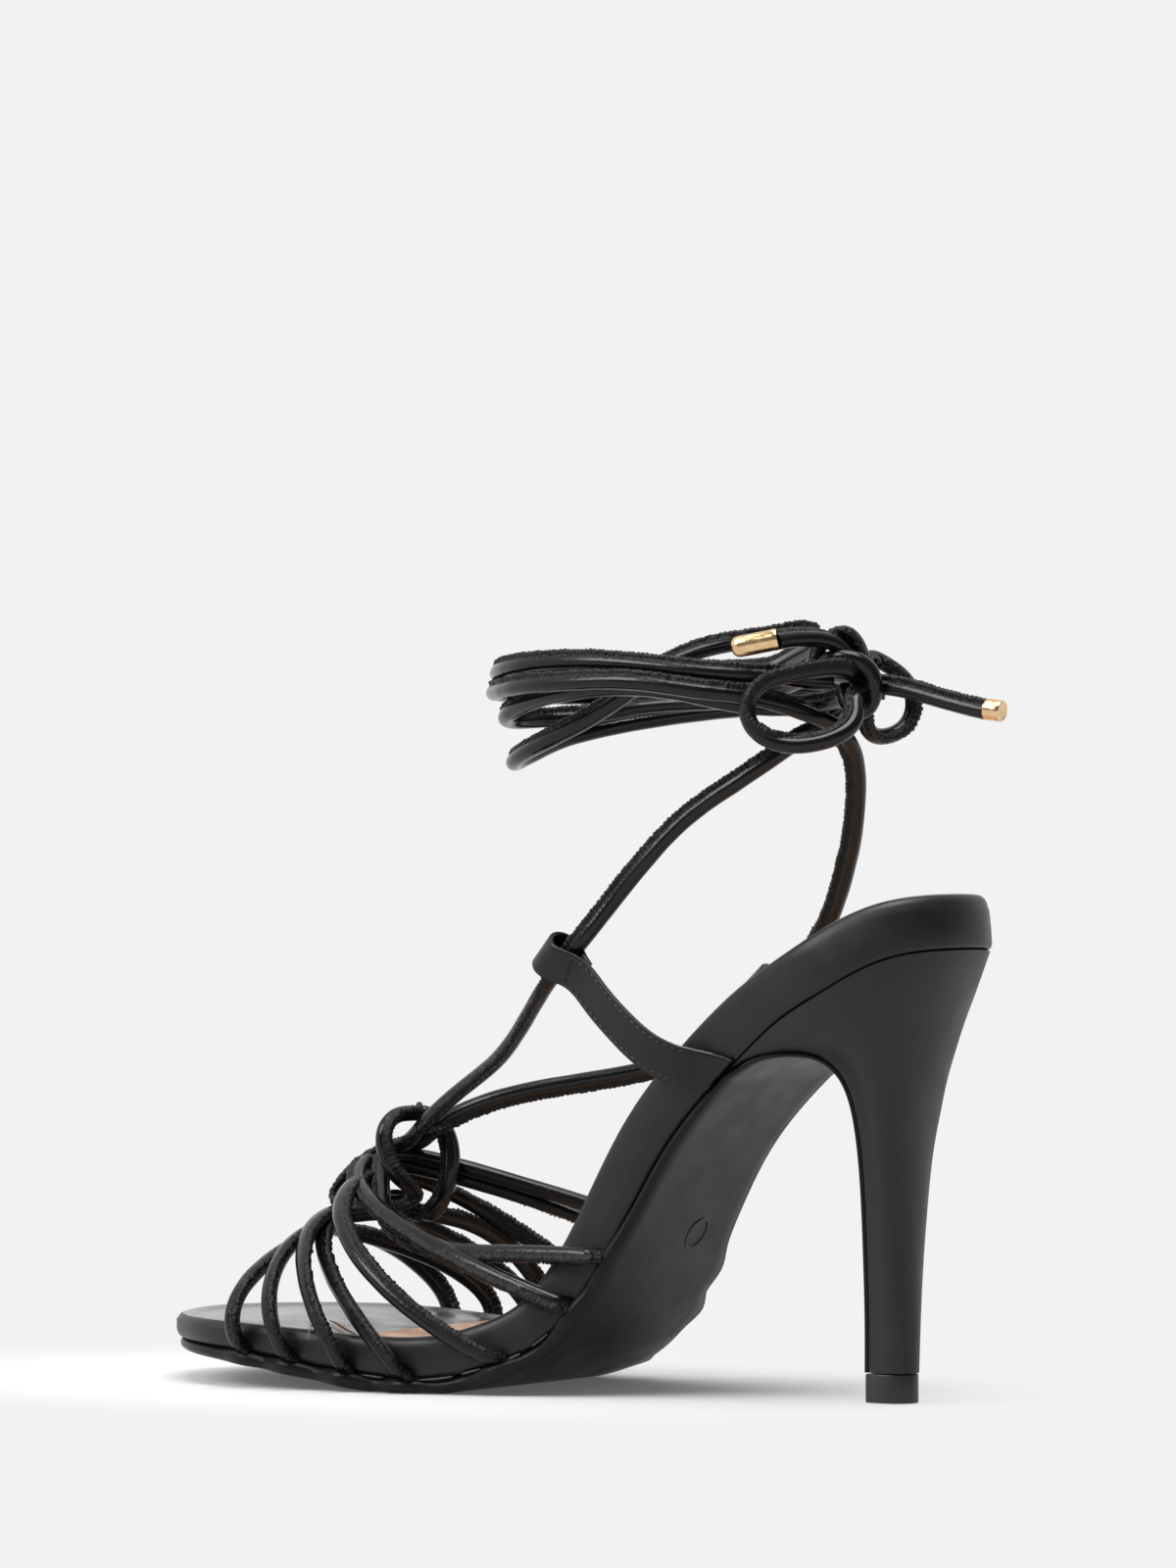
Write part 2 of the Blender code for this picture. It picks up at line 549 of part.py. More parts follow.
def build_loop_strap(name, band, eye, eye_axis, finish):
    """Flat band that stands on the rim and ends in an eye for the lace."""
    axis = np.array(eye_axis)
    axis /= np.linalg.norm(axis)
    middle = np.array(eye)
    back = np.array(band[-1]) - middle
    stop = middle + (EYE_BORE + 0.4 * EYE_WALL) / np.linalg.norm(back) * back
    path = smooth_path(band + (tuple(stop),), 12)
    reach = np.linalg.norm(np.array(path[-1]) - np.array(path[0]))
    rings = []
    for point, (tangent, _, _) in zip(np.array(path), sweep_frames(path)):
        share = smooth_step(np.linalg.norm(point - np.array(path[0])) / reach)
        across = (1 - share) * np.array((0.0, 0.0, 1.0)) + share * axis
        across = across - (across @ tangent) * tangent
        across /= np.linalg.norm(across)
        face = np.cross(tangent, across)
        wide = 0.5 * BAND_WIDTH * across
        thick = 0.5 * BAND_THICKNESS * face
        rings.append([tuple(point + a * wide + b * thick) for a, b in ((1, 1), (-1, 1), (-1, -1), (1, -1))])
    strip = loft(name + "_band", rings, finish)
    first = np.cross(axis, (1.0, 0.0, 0.0))
    first /= np.linalg.norm(first)
    second = np.cross(axis, first)
    wall = []
    outside = EYE_BORE + EYE_WALL
    for k in range(EYE_SIDES):
        angle = 2 * math.pi * k / EYE_SIDES
        out = math.cos(angle) * first + math.sin(angle) * second
        for radius, along in ((EYE_BORE, -1), (outside, -1), (outside, 1), (EYE_BORE, 1)):
            wall.append(tuple(middle + radius * out + 0.5 * along * BAND_WIDTH * axis))
    faces = ring_faces(EYE_SIDES, 4)
    last = 4 * (EYE_SIDES - 1)
    faces += [(last + k, last + (k + 1) % 4, (k + 1) % 4, k) for k in range(4)]
    ring = mesh_object(name, wall, faces, finish)
    return joined(name, [ring, strip])


def build_ball(name, centre, radii, rings, sides, finish):
    """Closed ellipsoid."""
    points = [(centre[0], centre[1], centre[2] + radii[2])]
    for r in range(1, rings):
        polar = math.pi * r / rings
        for k in range(sides):
            angle = 2 * math.pi * k / sides
            points.append((centre[0] + radii[0] * math.sin(polar) * math.cos(angle),
                           centre[1] + radii[1] * math.sin(polar) * math.sin(angle),
                           centre[2] + radii[2] * math.cos(polar)))
    points.append((centre[0], centre[1], centre[2] - radii[2]))
    faces = [tuple(1 + i for i in face) for face in ring_faces(rings - 1, sides)]
    bottom = len(points) - 1
    for k in range(sides):
        after = (k + 1) % sides
        faces.append((0, 1 + after, 1 + k))
        faces.append((bottom, bottom - sides + k, bottom - sides + after))
    return mesh_object(name, points, faces, finish)


def build_lace(finish):
    halves = []
    for name, route in (("lace_outer", OUTER_LACE), ("lace_inner", INNER_LACE)):
        path = smooth_path(route, LACE_POINTS, HITCH_END, HITCH_POINTS)
        halves.append(tube(name, path, LACE_RADIUS, LACE_SIDES, finish))
    radii = (HITCH_JOINT_RADIUS,) * 3
    joint = build_ball("lace_joint", HITCH_TOP, radii, 6, LACE_SIDES, finish)
    return joined("lace", halves + [joint])


def build_cord(name, route, count, finish):
    """Free end or loop of the lace as a bevelled curve."""
    curve = bpy.data.curves.new(name, "CURVE")
    curve.dimensions = "3D"
    curve.bevel_depth = LACE_RADIUS * MM
    curve.bevel_resolution = 2
    curve.use_fill_caps = True
    line = curve.splines.new("POLY")
    path = smooth_path(route, count)
    line.points.add(len(path) - 1)
    for target, point in zip(line.points, path):
        target.co = (*place(point), 1.0)
    curve.materials.append(finish)
    obj = bpy.data.objects.new(name, curve)
    bpy.context.scene.collection.objects.link(obj)
    return obj


def build_tip(name, start, end, finish):
    """Metal tip, a short sleeve that goes on where a lace end stops."""
    begin = np.array(start, dtype=float)
    finish_at = np.array(end, dtype=float)
    direction = (finish_at - begin) / np.linalg.norm(finish_at - begin)
    path = [begin + TIP_GAP * direction, 0.5 * (begin + finish_at), finish_at]
    return tube(name, path, TIP_RADIUS, TIP_SIDES, finish)


def build_bow(finish, gold):
    build_ball("bow_knot", KNOT_CENTRE, KNOT_RADII, KNOT_RINGS, KNOT_SIDES, finish)
    build_cord("bow_loop_outer", OUTER_BOW, BOW_POINTS, finish)
    build_cord("bow_loop_inner", INNER_BOW, BOW_POINTS, finish)
    build_cord("lace_end_front", FRONT_END, BOW_POINTS // 2, finish)
    build_cord("lace_end_back", BACK_END, BOW_POINTS // 2, finish)
    build_tip("lace_tip_front", FRONT_END[-1], FRONT_TIP, gold)
    build_tip("lace_tip_back", BACK_END[-1], BACK_TIP, gold)


def main():
    for obj in list(bpy.data.objects):
        bpy.data.objects.remove(obj, do_unlink=True)
    satin = material("black_satin", (0.014, 0.014, 0.014), 0.42)
    grain = material("black_grained", (0.016, 0.016, 0.016), 0.48)
    strap = material("black_strap", (0.012, 0.012, 0.012), 0.35)
    rubber = material("black_rubber", (0.018, 0.018, 0.018), 0.6)
    plastic = material("black_plastic", (0.02, 0.02, 0.02), 0.4)
    beige = material("beige_lining", (0.62, 0.44, 0.34), 0.6)
    gold = material("gold_metal", (0.8, 0.6, 0.42), 0.25, 1.0)
    build_footbed(satin)
    build_outsole(rubber)
    build_sock_lining(beige)
    build_heel(grain)
    build_top_piece(plastic)
    build_upper(strap)
    build_loop_strap("loop_strap_outer", OUTER_BAND, OUTER_EYE, OUTER_EYE_AXIS, satin)
    build_loop_strap("loop_strap_inner", INNER_BAND, INNER_EYE, INNER_EYE_AXIS, satin)
    build_lace(strap)
    build_bow(strap, gold)


main()
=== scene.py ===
"""Looks of a strappy high-heeled sandal: rolled straps with sewn seams, lace and bow, on a pale floor.

Sizes are in millimetres in the shoe's own directions: x across it (outer side positive), u from the back of
the heel to the toe, z up. to_world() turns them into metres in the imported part's frame.
"""
import math

import bmesh
import bpy
import numpy as np
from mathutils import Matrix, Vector


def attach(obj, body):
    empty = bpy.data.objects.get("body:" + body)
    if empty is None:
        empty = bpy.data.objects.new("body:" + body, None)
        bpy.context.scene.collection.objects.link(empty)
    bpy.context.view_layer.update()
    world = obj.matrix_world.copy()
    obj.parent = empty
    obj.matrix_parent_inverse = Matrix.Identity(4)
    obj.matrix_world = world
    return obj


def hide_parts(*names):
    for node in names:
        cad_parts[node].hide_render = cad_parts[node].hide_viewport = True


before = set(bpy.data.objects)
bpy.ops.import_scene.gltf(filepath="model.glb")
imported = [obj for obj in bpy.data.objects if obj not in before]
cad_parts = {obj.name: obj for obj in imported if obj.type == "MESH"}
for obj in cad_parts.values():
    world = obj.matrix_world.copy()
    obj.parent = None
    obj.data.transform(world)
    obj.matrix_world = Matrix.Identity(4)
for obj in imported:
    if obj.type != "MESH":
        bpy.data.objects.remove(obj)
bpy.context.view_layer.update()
RANDOM = np.random.default_rng(11)

# Millimetre, sole length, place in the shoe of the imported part's origin, and the direction up
MM = 0.001
LENGTH = 203.0
MIDDLE_U = 100.5
MIDDLE_X = -0.5
UP = np.array((0.0, 0.0, 1.0))

# Camera: place and direction in metres and degrees, lens for the picture's long side
CAMERA_PLACE = (1.05376, 0.66363, 0.09213)
CAMERA_TURN = 32.12
CAMERA_RISE = 1.79
CAMERA_LENS = 131.36
CAMERA_SENSOR = 36.0
CAMERA_CLIP = (0.05, 50.0)

# Studio: backdrop, near side, floor, and lamps as name, place, size, power and whether they are mirrored
BACKDROP = 0.888
BACKDROP_WAY = (-0.614, -0.789, 0.0)
BACKDROP_REACH = (-0.6, 0.4)
NEAR_SIDE = 0.15
FLOOR_HALF = 6.0
FLOOR_DROP = 0.0002
FLOOR_SHADE = 0.56
FLOOR_MIDDLE = (0.0, -0.045)
FLOOR_RADII = (0.06, 0.085)
FLOOR_FADE = (0.7, 1.9)
FLOOR_GLOW = 0.1
LAMPS = (("top", (0.3, 0.2, 1.6), 1.0, 24.0, True), ("key", (1.04, -0.53, 1.0), 0.7, 12.0, True),
         ("toe", (0.42, -0.6, 0.3), 0.35, 3.8, False))
LAMP_AIM = (0.0, 0.0, 0.06)

# Footbed: place along the shoe, underside height, outer and inner half width, rim height
SOLE_COLUMNS = ("underside", "outer", "inner", "rim")
SOLE_ROWS = (
    (0.0, 95.2, 26.1, 24.5, 11.7),
    (12.0, 93.2, 26.1, 25.7, 12.0),
    (26.0, 85.9, 26.0, 26.2, 11.6),
    (40.0, 77.6, 24.1, 25.0, 11.6),
    (54.0, 66.0, 21.9, 22.3, 11.9),
    (68.0, 49.7, 21.8, 21.3, 11.7),
    (80.5, 28.0, 23.0, 23.3, 11.0),
    (92.5, 12.7, 25.4, 27.0, 10.3),
    (104.5, 6.1, 28.3, 30.0, 9.8),
    (116.5, 3.1, 30.8, 32.3, 9.5),
    (130.5, 3.0, 33.2, 34.8, 8.8),
    (146.5, 5.2, 35.8, 37.0, 7.6),
    (165.0, 7.6, 36.7, 37.5, 6.4),
    (183.0, 8.8, 33.3, 34.4, 5.7),
    (201.0, 9.3, 27.9, 29.8, 5.2),
)
HEEL_BACK = 1.8
HEEL_ROUND = 30.0
TOE_ROUND = 34.0
TOE_APEX = -7.0
TOE_CURVE_START = 140.0
ROUND_POWER = 2.3
# Rim section: inset from the outline, share of the rim height, offset from that height
RIM_ROWS = ((1.7, 0, 0.0), (1.15, 0, 0.2), (0.35, 0, 0.6), (0.02, 0, 1.3), (-0.12, 0.4, 0.0),
            (-0.1, 0.7, 0.0), (0.02, 1, -2.0), (0.22, 1, -1.2), (0.6, 1, -0.6), (1.2, 1, -0.22),
            (2.0, 1, -0.04), (2.9, 1, -0.05), (3.6, 1, -0.25), (4.4, 1, -0.7))
BED_RINGS = 4
REAR_SOFTER = 0.6
REAR_SOFT_LENGTH = 45.0
FOOTBED_SECTIONS = 170
BED_COLUMNS = 16
LOW_COLUMNS = 8

# Outsole sheet and its flap down the heel breast
OUTSOLE_THICKNESS = ((50.0, 1.3), (62.0, 1.9), (90.0, 2.4), (110.0, 3.0), (150.0, 2.9), (176.0, 2.3),
                     (203.0, 1.6))
OUTSOLE_TOE = 1.6
OUTSOLE_REAR = 51.0
OUTSOLE_WAIST = 60.0
OUTSOLE_EDGE = 0.3
OUTSOLE_SECTIONS = 190
TOE_SECTIONS = 26
TOE_LENGTH = 12.0
TOE_START = 165.0
TOE_END = 0.02
# Swell of the outsole over the strap feet at each side: size, length and shift
OUTSOLE_SWELL = {"outer": (1.9, 4.5, 0.0), "inner": (2.9, 2.6, 2.2)}
SWELL_LEAST = 0.85
SWELL_VARY = 0.3
SWELL_STEP = 0.37
SWELL_LIFT = 0.3
FLAP_THICKNESS = 1.1
FLAP_MARGIN = 0.35
FLAP_CLEARANCE = 0.05
FLAP_SECTIONS = 70
FLAP_SKIP = 4
GAP = 0.3
CLEARANCE = 0.1
# Sheet section: rounding as a share of depth and width, then its edge as shares of rounding, depth and lift
SHEET_COLUMNS = 14
SHEET_ROUND = (0.45, 0.3)
SHEET_EDGE = ((0.25, 0.2, 1.0), (0.0, 0.5, 0.5), (0.3, 0.82, 0.0))

# Heel sections from the seat down: breast place and height, back place and height, half widths
HEEL_ROWS = (
    (43.6, 72.6, 6.0, 88.0, 20.4, 23.4),
    (36.4, 73.6, 8.8, 81.0, 18.4, 20.6),
    (31.2, 72.6, 10.8, 74.5, 16.0, 17.6),
    (27.8, 69.6, 12.6, 68.0, 13.9, 15.0),
    (25.8, 64.8, 14.0, 61.0, 12.2, 13.0),
    (24.9, 57.5, 15.2, 53.5, 10.4, 11.0),
    (24.7, 46.0, 16.1, 42.0, 8.4, 8.9),
    (25.0, 31.5, 16.6, 29.0, 6.6, 7.0),
    (25.4, 18.0, 16.8, 17.0, 5.2, 5.6),
    (25.9, 6.3, 16.9, 6.3, 4.3, 4.7),
)
SEAT_FRONT = 50.0
SEAT_BACK = 2.6
SEAT_INSET = 0.7
SEAT_CLEARANCE = 0.15
BREAST_HALF = 21.6
HEEL_WIDEST = 0.6
HEEL_SECTIONS = 90
HEEL_POINTS = 26
# Top piece: its rings as height and distance outside the heel's last section
TOP_PIECE_HEIGHT = 6.0
TOP_PIECE_RINGS = ((6.05, -0.3), (6.0, -0.2), (5.7, -0.12), (0.4, -0.12), (0.06, -0.2), (0.0, -0.35))

# Sock lining
SOCK_TOP = -0.15
SOCK_THICKNESS = 0.8
SOCK_INSET = 4.1
SOCK_REAR = 6.6
SOCK_END = 0.3
SOCK_SECTIONS = 150
SOCK_COLUMNS = 13
SOCK_FRONT = (138.5, 140.5)

# Vamp straps, front to back, and each seam's turn from the heel side at outer foot, crest and inner foot
STRAP_COLUMNS = ("outer_foot", "outer_lean", "inner_foot", "inner_lean", "crest_x", "crest_u", "crest_z",
                 "run_u", "run_z", "outer_reach", "inner_reach")
STRAP_ROWS = (
    (163.7, 0.0, 160.4, 0.3, -5.0, 169.6, 32.6, -0.3, -0.04, 0.31, 0.59),
    (151.9, 0.2, 149.9, -0.2, -5.0, 168.1, 32.8, -0.17, 0.12, 0.48, 0.57),
    (138.4, 0.2, 136.0, 0.2, -5.0, 165.4, 36.9, 0.02, -0.08, 0.54, 0.57),
    (124.6, 0.6, 118.3, 2.8, -5.0, 164.5, 35.8, 0.87, -0.16, 0.22, 1.15),
    (103.9, 2.2, 101.0, 1.7, -5.0, 156.6, 45.1, -0.11, -0.1, 1.16, 0.97),
    (87.2, 2.8, 85.7, 1.6, -5.0, 159.8, 47.8, -0.09, -0.32, 0.61, 0.27),
    (80.2, 20.0, 79.2, 8.0, -5.0, 155.4, 48.3, -0.5, -0.8, 1.0, 0.37),
)
SEAM_TURNS = ((42, 24, 10), (48, 24, 10), (34, 18, 10), (52, 24, 10), (34, 10, 10), (140, 168, 176),
              (150, 172, 176))
STRAP_RADIUS = 2.2
STRAP_FOOT_HEIGHT = 2.6
STRAP_RISE = 0.343
STRAP_BULGE = 0.64
STRAP_AXIS = (-3.0, 0.0, 14.0)
STRAP_TUCK = 2.6
STRAP_POINTS = 200

# Rolled strap section: round body, open at the sewn seam beside it, and how the seam's edge is notched
BODY_RADIUS = 1.74
BODY_OPEN = 44
BODY_POINTS = 13
SEAM_POINTS = ((1.62, 0.76, 0.5), (2.05, 0.84, 0.9), (2.5, 0.72, 1.0), (2.72, 0.22, 1.0))
SECTION_SHIFT = -0.5
SEAM_PITCH = 1.05
SEAM_STEP = 0.32
SEAM_NOTCH = 0.1
SEAM_PUFF = 0.2
SEAM_PUFF_LAG = 1.4
SEAM_SHARE = 0.3
# Uneven making of a strap: steps that each kind is smoothed over, and its size
WANDER = {"phase": (12, 0.8), "edge": (2, 0.06), "puff": (2, 0.12), "bend": (30, 0.1), "fray": (2, 0.08),
          "body": (14, 0.012)}

# Loop straps: flat bands from under the rim to an eye
BAND_WIDTH = 8.4
BAND_THICKNESS = 1.0
BAND_EDGE = ((0.35, 1.0), (0.08, 0.6), (0.0, 0.0), (0.08, -0.6), (0.35, -1.0))
BAND_FACE_INSET = 1.2
BAND_FACE_POINTS = 5
BAND_SECTIONS = 190
BAND_TWIST = 2.0
BAND_FRONT = 0.9
BAND_RETURN = (0.4, -1.6)
BAND_FOOT = (47.8, 54.8)
BAND_FOOT_LENGTH = 9.0
BAND_FOOT_OUT = 0.4
BAND_FOOT_HEIGHT = 0.2
BAND_BURIED = 4.0
BAND_RAW = (3.5, 10.5)
BAND_RAW_FACES = slice(1, 3)
EYE_BORE = 3.0
EYE_TURN = 78
EYE_POINTS = 9
# Node, middle line from the rim, eye that the lace runs through, direction of the lace there, side
LOOP_STRAPS = (
    ("loop_strap_outer", ((23.7, 51.5, 69.6), (25.5, 57.1, 70.1), (27.0, 64.6, 72.6), (27.0, 73.3, 78.8),
                          (26.3, 80.2, 85.2), (25.4, 85.8, 90.4)),
     (24.0, 90.8, 93.2), (0.22, -0.7, 0.68), 1),
    ("loop_strap_inner", ((-25.3, 51.0, 69.6), (-26.2, 55.4, 72.6), (-26.9, 59.8, 76.4),
                          (-27.1, 65.0, 81.6)),
     (-27.0, 69.6, 86.4), (0.03, -0.74, 0.67), -1),
)
# Stitches: thread, its height along a stitch, and places counted in steps of a grid
STITCH_RADIUS = 0.24
STITCH_SIDES = 6
STITCH_LIFT = (0.0, 0.75, 1.0, 1.0, 0.75, 0.0)
STITCH_SUNK = 0.7
STITCH_INSET = 1.0
STITCH_START = 0.8
STITCH_GRID = 0.1
STITCH_FIRST = 2
STITCH_SPAN = 12
STITCH_PITCH = 18
CROSS_PITCH = 1.5
CROSS_ENDS = (0.15, 1.35)

# Small marks: lines as points, radius, flatness and finish; glue as start, end, height and radius; ring
LINE_POINTS = 40
LINE_SIDES = 10
LINE_END = 0.12
LINE_POWER = 0.3
MARK_LINES = (
    ("loose_thread", ((24.2, 155.5, 13.6), (30.0, 150.0, 13.3), (36.2, 146.3, 12.9), (37.7, 145.9, 11.2)),
     0.16, 1.0, "pale"),
    ("lining_edge", ((14.5, 156.0, 13.5), (19.0, 151.2, 13.2), (23.5, 146.6, 12.8), (32.0, 137.4, 12.1)),
     0.5, 0.3, "brown"),
)
GLUE_POINTS = 6
GLUE_OUT = 0.35
GLUE_FLAT = 0.8
GLUE_ROWS = ((83.5, 90.0, 0.1, 0.5), (92.0, 95.5, 0.2, 0.4), (98.0, 102.0, 0.1, 0.5),
             (106.5, 111.0, 0.2, 0.45), (113.0, 121.0, 0.1, 0.4), (129.0, 134.0, 0.2, 0.35))
RING_X = -6.5
RING_U = 76.5
RING_RADIUS = 3.6
RING_DEPTH = -2.35
RING_LINE = 0.22
RING_POINTS = 49

# Lace route in two halves from the bight on the straps, and the side its seam turns to at some points
OUTER_LACE = (
    (-4.2, 145.8, 59.0), (0.8, 147.4, 58.4), (4.4, 148.2, 54.8), (4.6, 147.6, 49.6), (3.0, 145.0, 44.6),
    (-0.8, 143.8, 41.2), (-2.0, 148.0, 38.8), (-3.0, 154.2, 38.8), (-3.8, 159.6, 38.6),
    (-4.8, 165.2, 38.2), (-6.0, 168.0, 40.0), (-7.4, 166.6, 43.4), (-8.6, 162.6, 47.2),
    (-7.0, 155.6, 50.6), (-1.6, 146.0, 53.0),
    (1.8, 138.8, 57.2), (4.0, 129.6, 63.4), (9.6, 114.8, 71.6), (15.0, 105.6, 78.5), (20.6, 97.2, 85.6),
    (24.0, 90.4, 91.6), (24.8, 84.6, 97.0), (23.0, 78.5, 104.7), (21.0, 69.9, 115.0), (18.5, 62.0, 123.1),
    (16.0, 51.4, 130.4), (12.0, 44.0, 136.1), (7.0, 40.2, 140.0), (0.0, 38.8, 142.2),
    (-10.0, 40.8, 145.2), (-22.0, 47.6, 147.6), (-30.6, 61.6, 149.0), (-32.0, 76.3, 148.6),
    (-28.0, 93.0, 147.0), (-20.6, 107.2, 144.2), (-11.0, 114.6, 140.6), (0.0, 116.2, 136.6),
    (10.0, 110.0, 137.0), (15.6, 100.0, 139.8), (17.4, 85.9, 145.2), (17.6, 74.8, 151.4),
    (17.0, 66.0, 156.4), (14.5, 55.0, 159.8), (10.0, 44.9, 161.4),
    (5.0, 40.6, 162.4), (-1.0, 41.4, 161.0), (-8.0, 48.6, 159.0), (-16.0, 58.0, 157.3), (-23.0, 66.0, 156.6),
    (-25.6, 88.8, 156.8),
    (-20.7, 104.0, 157.4), (-11.0, 114.2, 156.6), (0.0, 118.6, 155.7), (13.0, 113.0, 155.7),
    (23.6, 100.8, 156.3), (27.4, 86.0, 156.5), (27.6, 71.0, 155.6), (25.0, 55.5, 153.8),
    (17.7, 39.9, 152.4), (9.0, 32.0, 151.6),
)
OUTER_SEAM = ((0, (0.2, -0.8, 0.4)), (4, (0.3, -1.0, 0.2)), (8, (0.6, 0.2, -0.8)), (12, (0.7, 0.3, 0.6)),
              (15, (0.75, -0.6, -0.1)), (19, (0.85, -0.4, 0.1)), (21, (0.4, 0.6, 0.7)),
              (26, (0.35, 0.6, 0.7)), (30, (0.1, 0.0, 1.0)))
INNER_LACE = (
    (-5.8, 145.4, 59.0), (-9.2, 143.2, 56.6), (-10.2, 141.0, 51.4), (-9.8, 140.8, 45.4), (-9.4, 142.6, 39.8),
    (-9.0, 145.8, 36.4), (-8.6, 149.2, 36.8), (-8.4, 152.8, 39.2), (-8.5, 156.6, 39.2), (-9.5, 161.4, 39.0),
    (-11.0, 164.8, 41.4), (-12.6, 164.0, 45.4), (-13.0, 159.2, 49.6), (-10.4, 151.6, 51.8),
    (-5.2, 144.0, 53.4), (-3.8, 137.2, 57.0), (-6.2, 126.6, 61.6), (-13.0, 111.3, 65.2), (-18.0, 99.2, 67.4),
    (-22.4, 88.2, 70.6),
    (-25.6, 79.0, 76.8), (-27.0, 69.6, 86.4), (-26.6, 63.2, 91.6), (-25.0, 57.0, 95.4), (-21.4, 50.4, 101.2),
    (-16.0, 43.3, 111.6), (-11.0, 38.3, 120.4), (-6.0, 34.7, 129.3), (-0.6, 32.6, 136.4),
    (6.0, 32.8, 141.4), (13.6, 36.0, 145.0), (21.0, 42.6, 147.8), (27.0, 54.0, 149.6), (30.5, 67.7, 151.6),
    (30.8, 80.9, 151.9), (27.8, 96.7, 151.6), (17.0, 110.4, 151.2), (0.0, 119.4, 151.6),
    (-13.0, 113.2, 151.4), (-22.0, 104.4, 151.6), (-28.0, 89.9, 151.6), (-29.0, 67.9, 151.4),
    (-19.0, 46.0, 150.2), (-3.0, 38.4, 148.0), (9.0, 40.6, 146.4), (18.0, 48.0, 146.6), (22.6, 59.7, 149.2),
    (23.6, 76.0, 150.8), (22.0, 89.2, 150.2), (17.0, 102.4, 148.5), (9.6, 113.0, 146.3), (0.0, 117.0, 145.6),
    (-9.0, 114.8, 146.2), (-16.5, 106.4, 147.2), (-20.6, 96.8, 149.0), (-22.2, 82.0, 149.6),
    (-20.6, 66.0, 150.8), (-14.0, 51.0, 154.0), (-7.0, 39.4, 153.8), (-2.8, 32.2, 152.6),
)
INNER_SEAM = ((0, (0.2, 0.8, 0.4)), (4, (0.3, 1.0, 0.2)), (8, (0.6, 0.2, -0.8)), (12, (0.7, 0.3, 0.6)),
              (16, (-0.1, 0.1, -1.0)), (20, (0.1, 0.2, -1.0)), (24, (0.75, 0.7, 0.1)),
              (28, (0.75, 0.7, 0.1)), (32, (0.1, 0.0, 1.0)))

# Bow: each route starts inside the knot, and the loops end there too
KNOT_CENTRE = (4.0, 27.4, 151.0)
BOW_OUTER = ((7.0, 26.6, 152.4), (10.8, 27.2, 153.6), (15.0, 30.2, 153.8), (20.5, 33.9, 152.7),
             (24.4, 39.0, 150.8), (27.2, 41.8, 146.4), (27.2, 40.8, 141.8), (25.4, 36.2, 138.4),
             (21.6, 30.2, 138.0), (17.8, 25.2, 140.0), (14.0, 24.0, 143.4), (11.4, 25.2, 147.2),
             (7.0, 25.6, 149.4))
BOW_INNER = ((1.6, 26.4, 154.4), (-1.6, 28.0, 156.4), (-5.0, 25.1, 154.4), (-8.2, 22.8, 150.8),
             (-9.8, 22.6, 146.6), (-8.8, 23.6, 142.6), (-5.6, 25.8, 140.2), (-1.6, 27.6, 140.2),
             (1.6, 27.8, 142.8), (3.2, 26.4, 147.0))
FRONT_END = ((2.0, 23.0, 149.5), KNOT_CENTRE, (4.6, 27.2, 154.8), (7.0, 28.8, 156.9), (9.5, 30.2, 159.0),
             (12.5, 32.4, 160.2), (16.0, 34.3, 160.3), (20.0, 36.0, 160.0), (23.6, 37.2, 159.4))
BACK_END = ((4.8, 29.6, 151.4), KNOT_CENTRE, (4.0, 25.0, 150.8), (3.6, 21.2, 150.4), (3.2, 13.4, 148.7),
            (4.0, 4.2, 146.2), (4.0, -2.8, 144.6))
# Free cords: node, route, side of the seam at some of its points, far end
BOW_CORDS = (
    ("bow_loop_outer", BOW_OUTER, ((0, (0.7, -0.4, 0.6)), (5, (0.7, -0.4, 0.6)), (8, (0.1, 0.7, 0.7))),
     "object"),
    ("bow_loop_inner", BOW_INNER, ((0, (0.5, -0.9, -0.2)),), "object"),
    ("lace_end_front", FRONT_END, ((0, (-0.5, 0.3, 0.8)),), "fitting"),
    ("lace_end_back", BACK_END, ((0, (0.2, 0.0, 1.0)),), "fitting"),
)
# Tips: end points; profile rows from the start as place and radius, from the end as place, fold and radius
FRONT_TIP = (27.2, 45.6, 157.7)
BACK_TIP = (4.0, -5.9, 144.2)
TIP_RADIUS = 2.2
TIP_SIDES = 40
TIP_START = ((-0.6, 0.93), (-0.6, 1.0), (0.15, 1.03), (0.5, 1.0))
TIP_MIDDLE = 0.55
TIP_FOLDED = ((1.6, 0.15, 0.99), (0.8, 0.5, 0.9), (0.25, 0.8, 0.66), (0.0, 1.0, 0.3))
TIP_CUT = ((0.3, 0.0, 1.0), (0.0, 0.0, 0.9), (0.1, 0.0, 0.7))
TIP_FOLDS = 4
TIP_FOLD_DEPTH = 0.12
TIP_LAP = 0.05
TIP_LAP_RISE = (0.6, 0.75)
TIP_LAP_FALL = (1.7, 2.2)
# Wraps of the knot, as (right, up, towards the eye) from its centre, and the side each seam turns to
KNOT_SEAMS = ((-0.8, 0.5, 0.2), (0.8, -0.4, 0.3), (0.8, -0.4, 0.3))
KNOT_WRAPS = (
    ((-8.5, 4.4, 1.2), (-5.3, 5.3, 3.4), (-1.8, 4.8, 4.8), (1.4, 2.3, 5.0), (2.3, -1.2, 4.8),
     (1.4, -4.8, 3.6), (-0.7, -6.2, 1.0), (-3.0, -4.1, -2.6), (-3.8, -0.7, -4.0)),
    ((-8.2, 9.8, 0.0), (-9.2, 7.6, 0.8), (-9.9, 5.2, 0.9), (-10.5, 2.4, 0.6)),
    ((-8.6, 8.4, -0.8), (-6.4, 9.8, 0.0), (-3.5, 10.4, 0.8), (-1.4, 8.6, 0.8), (-0.3, 6.3, 0.2),
     (0.4, 3.6, -1.0)),
)

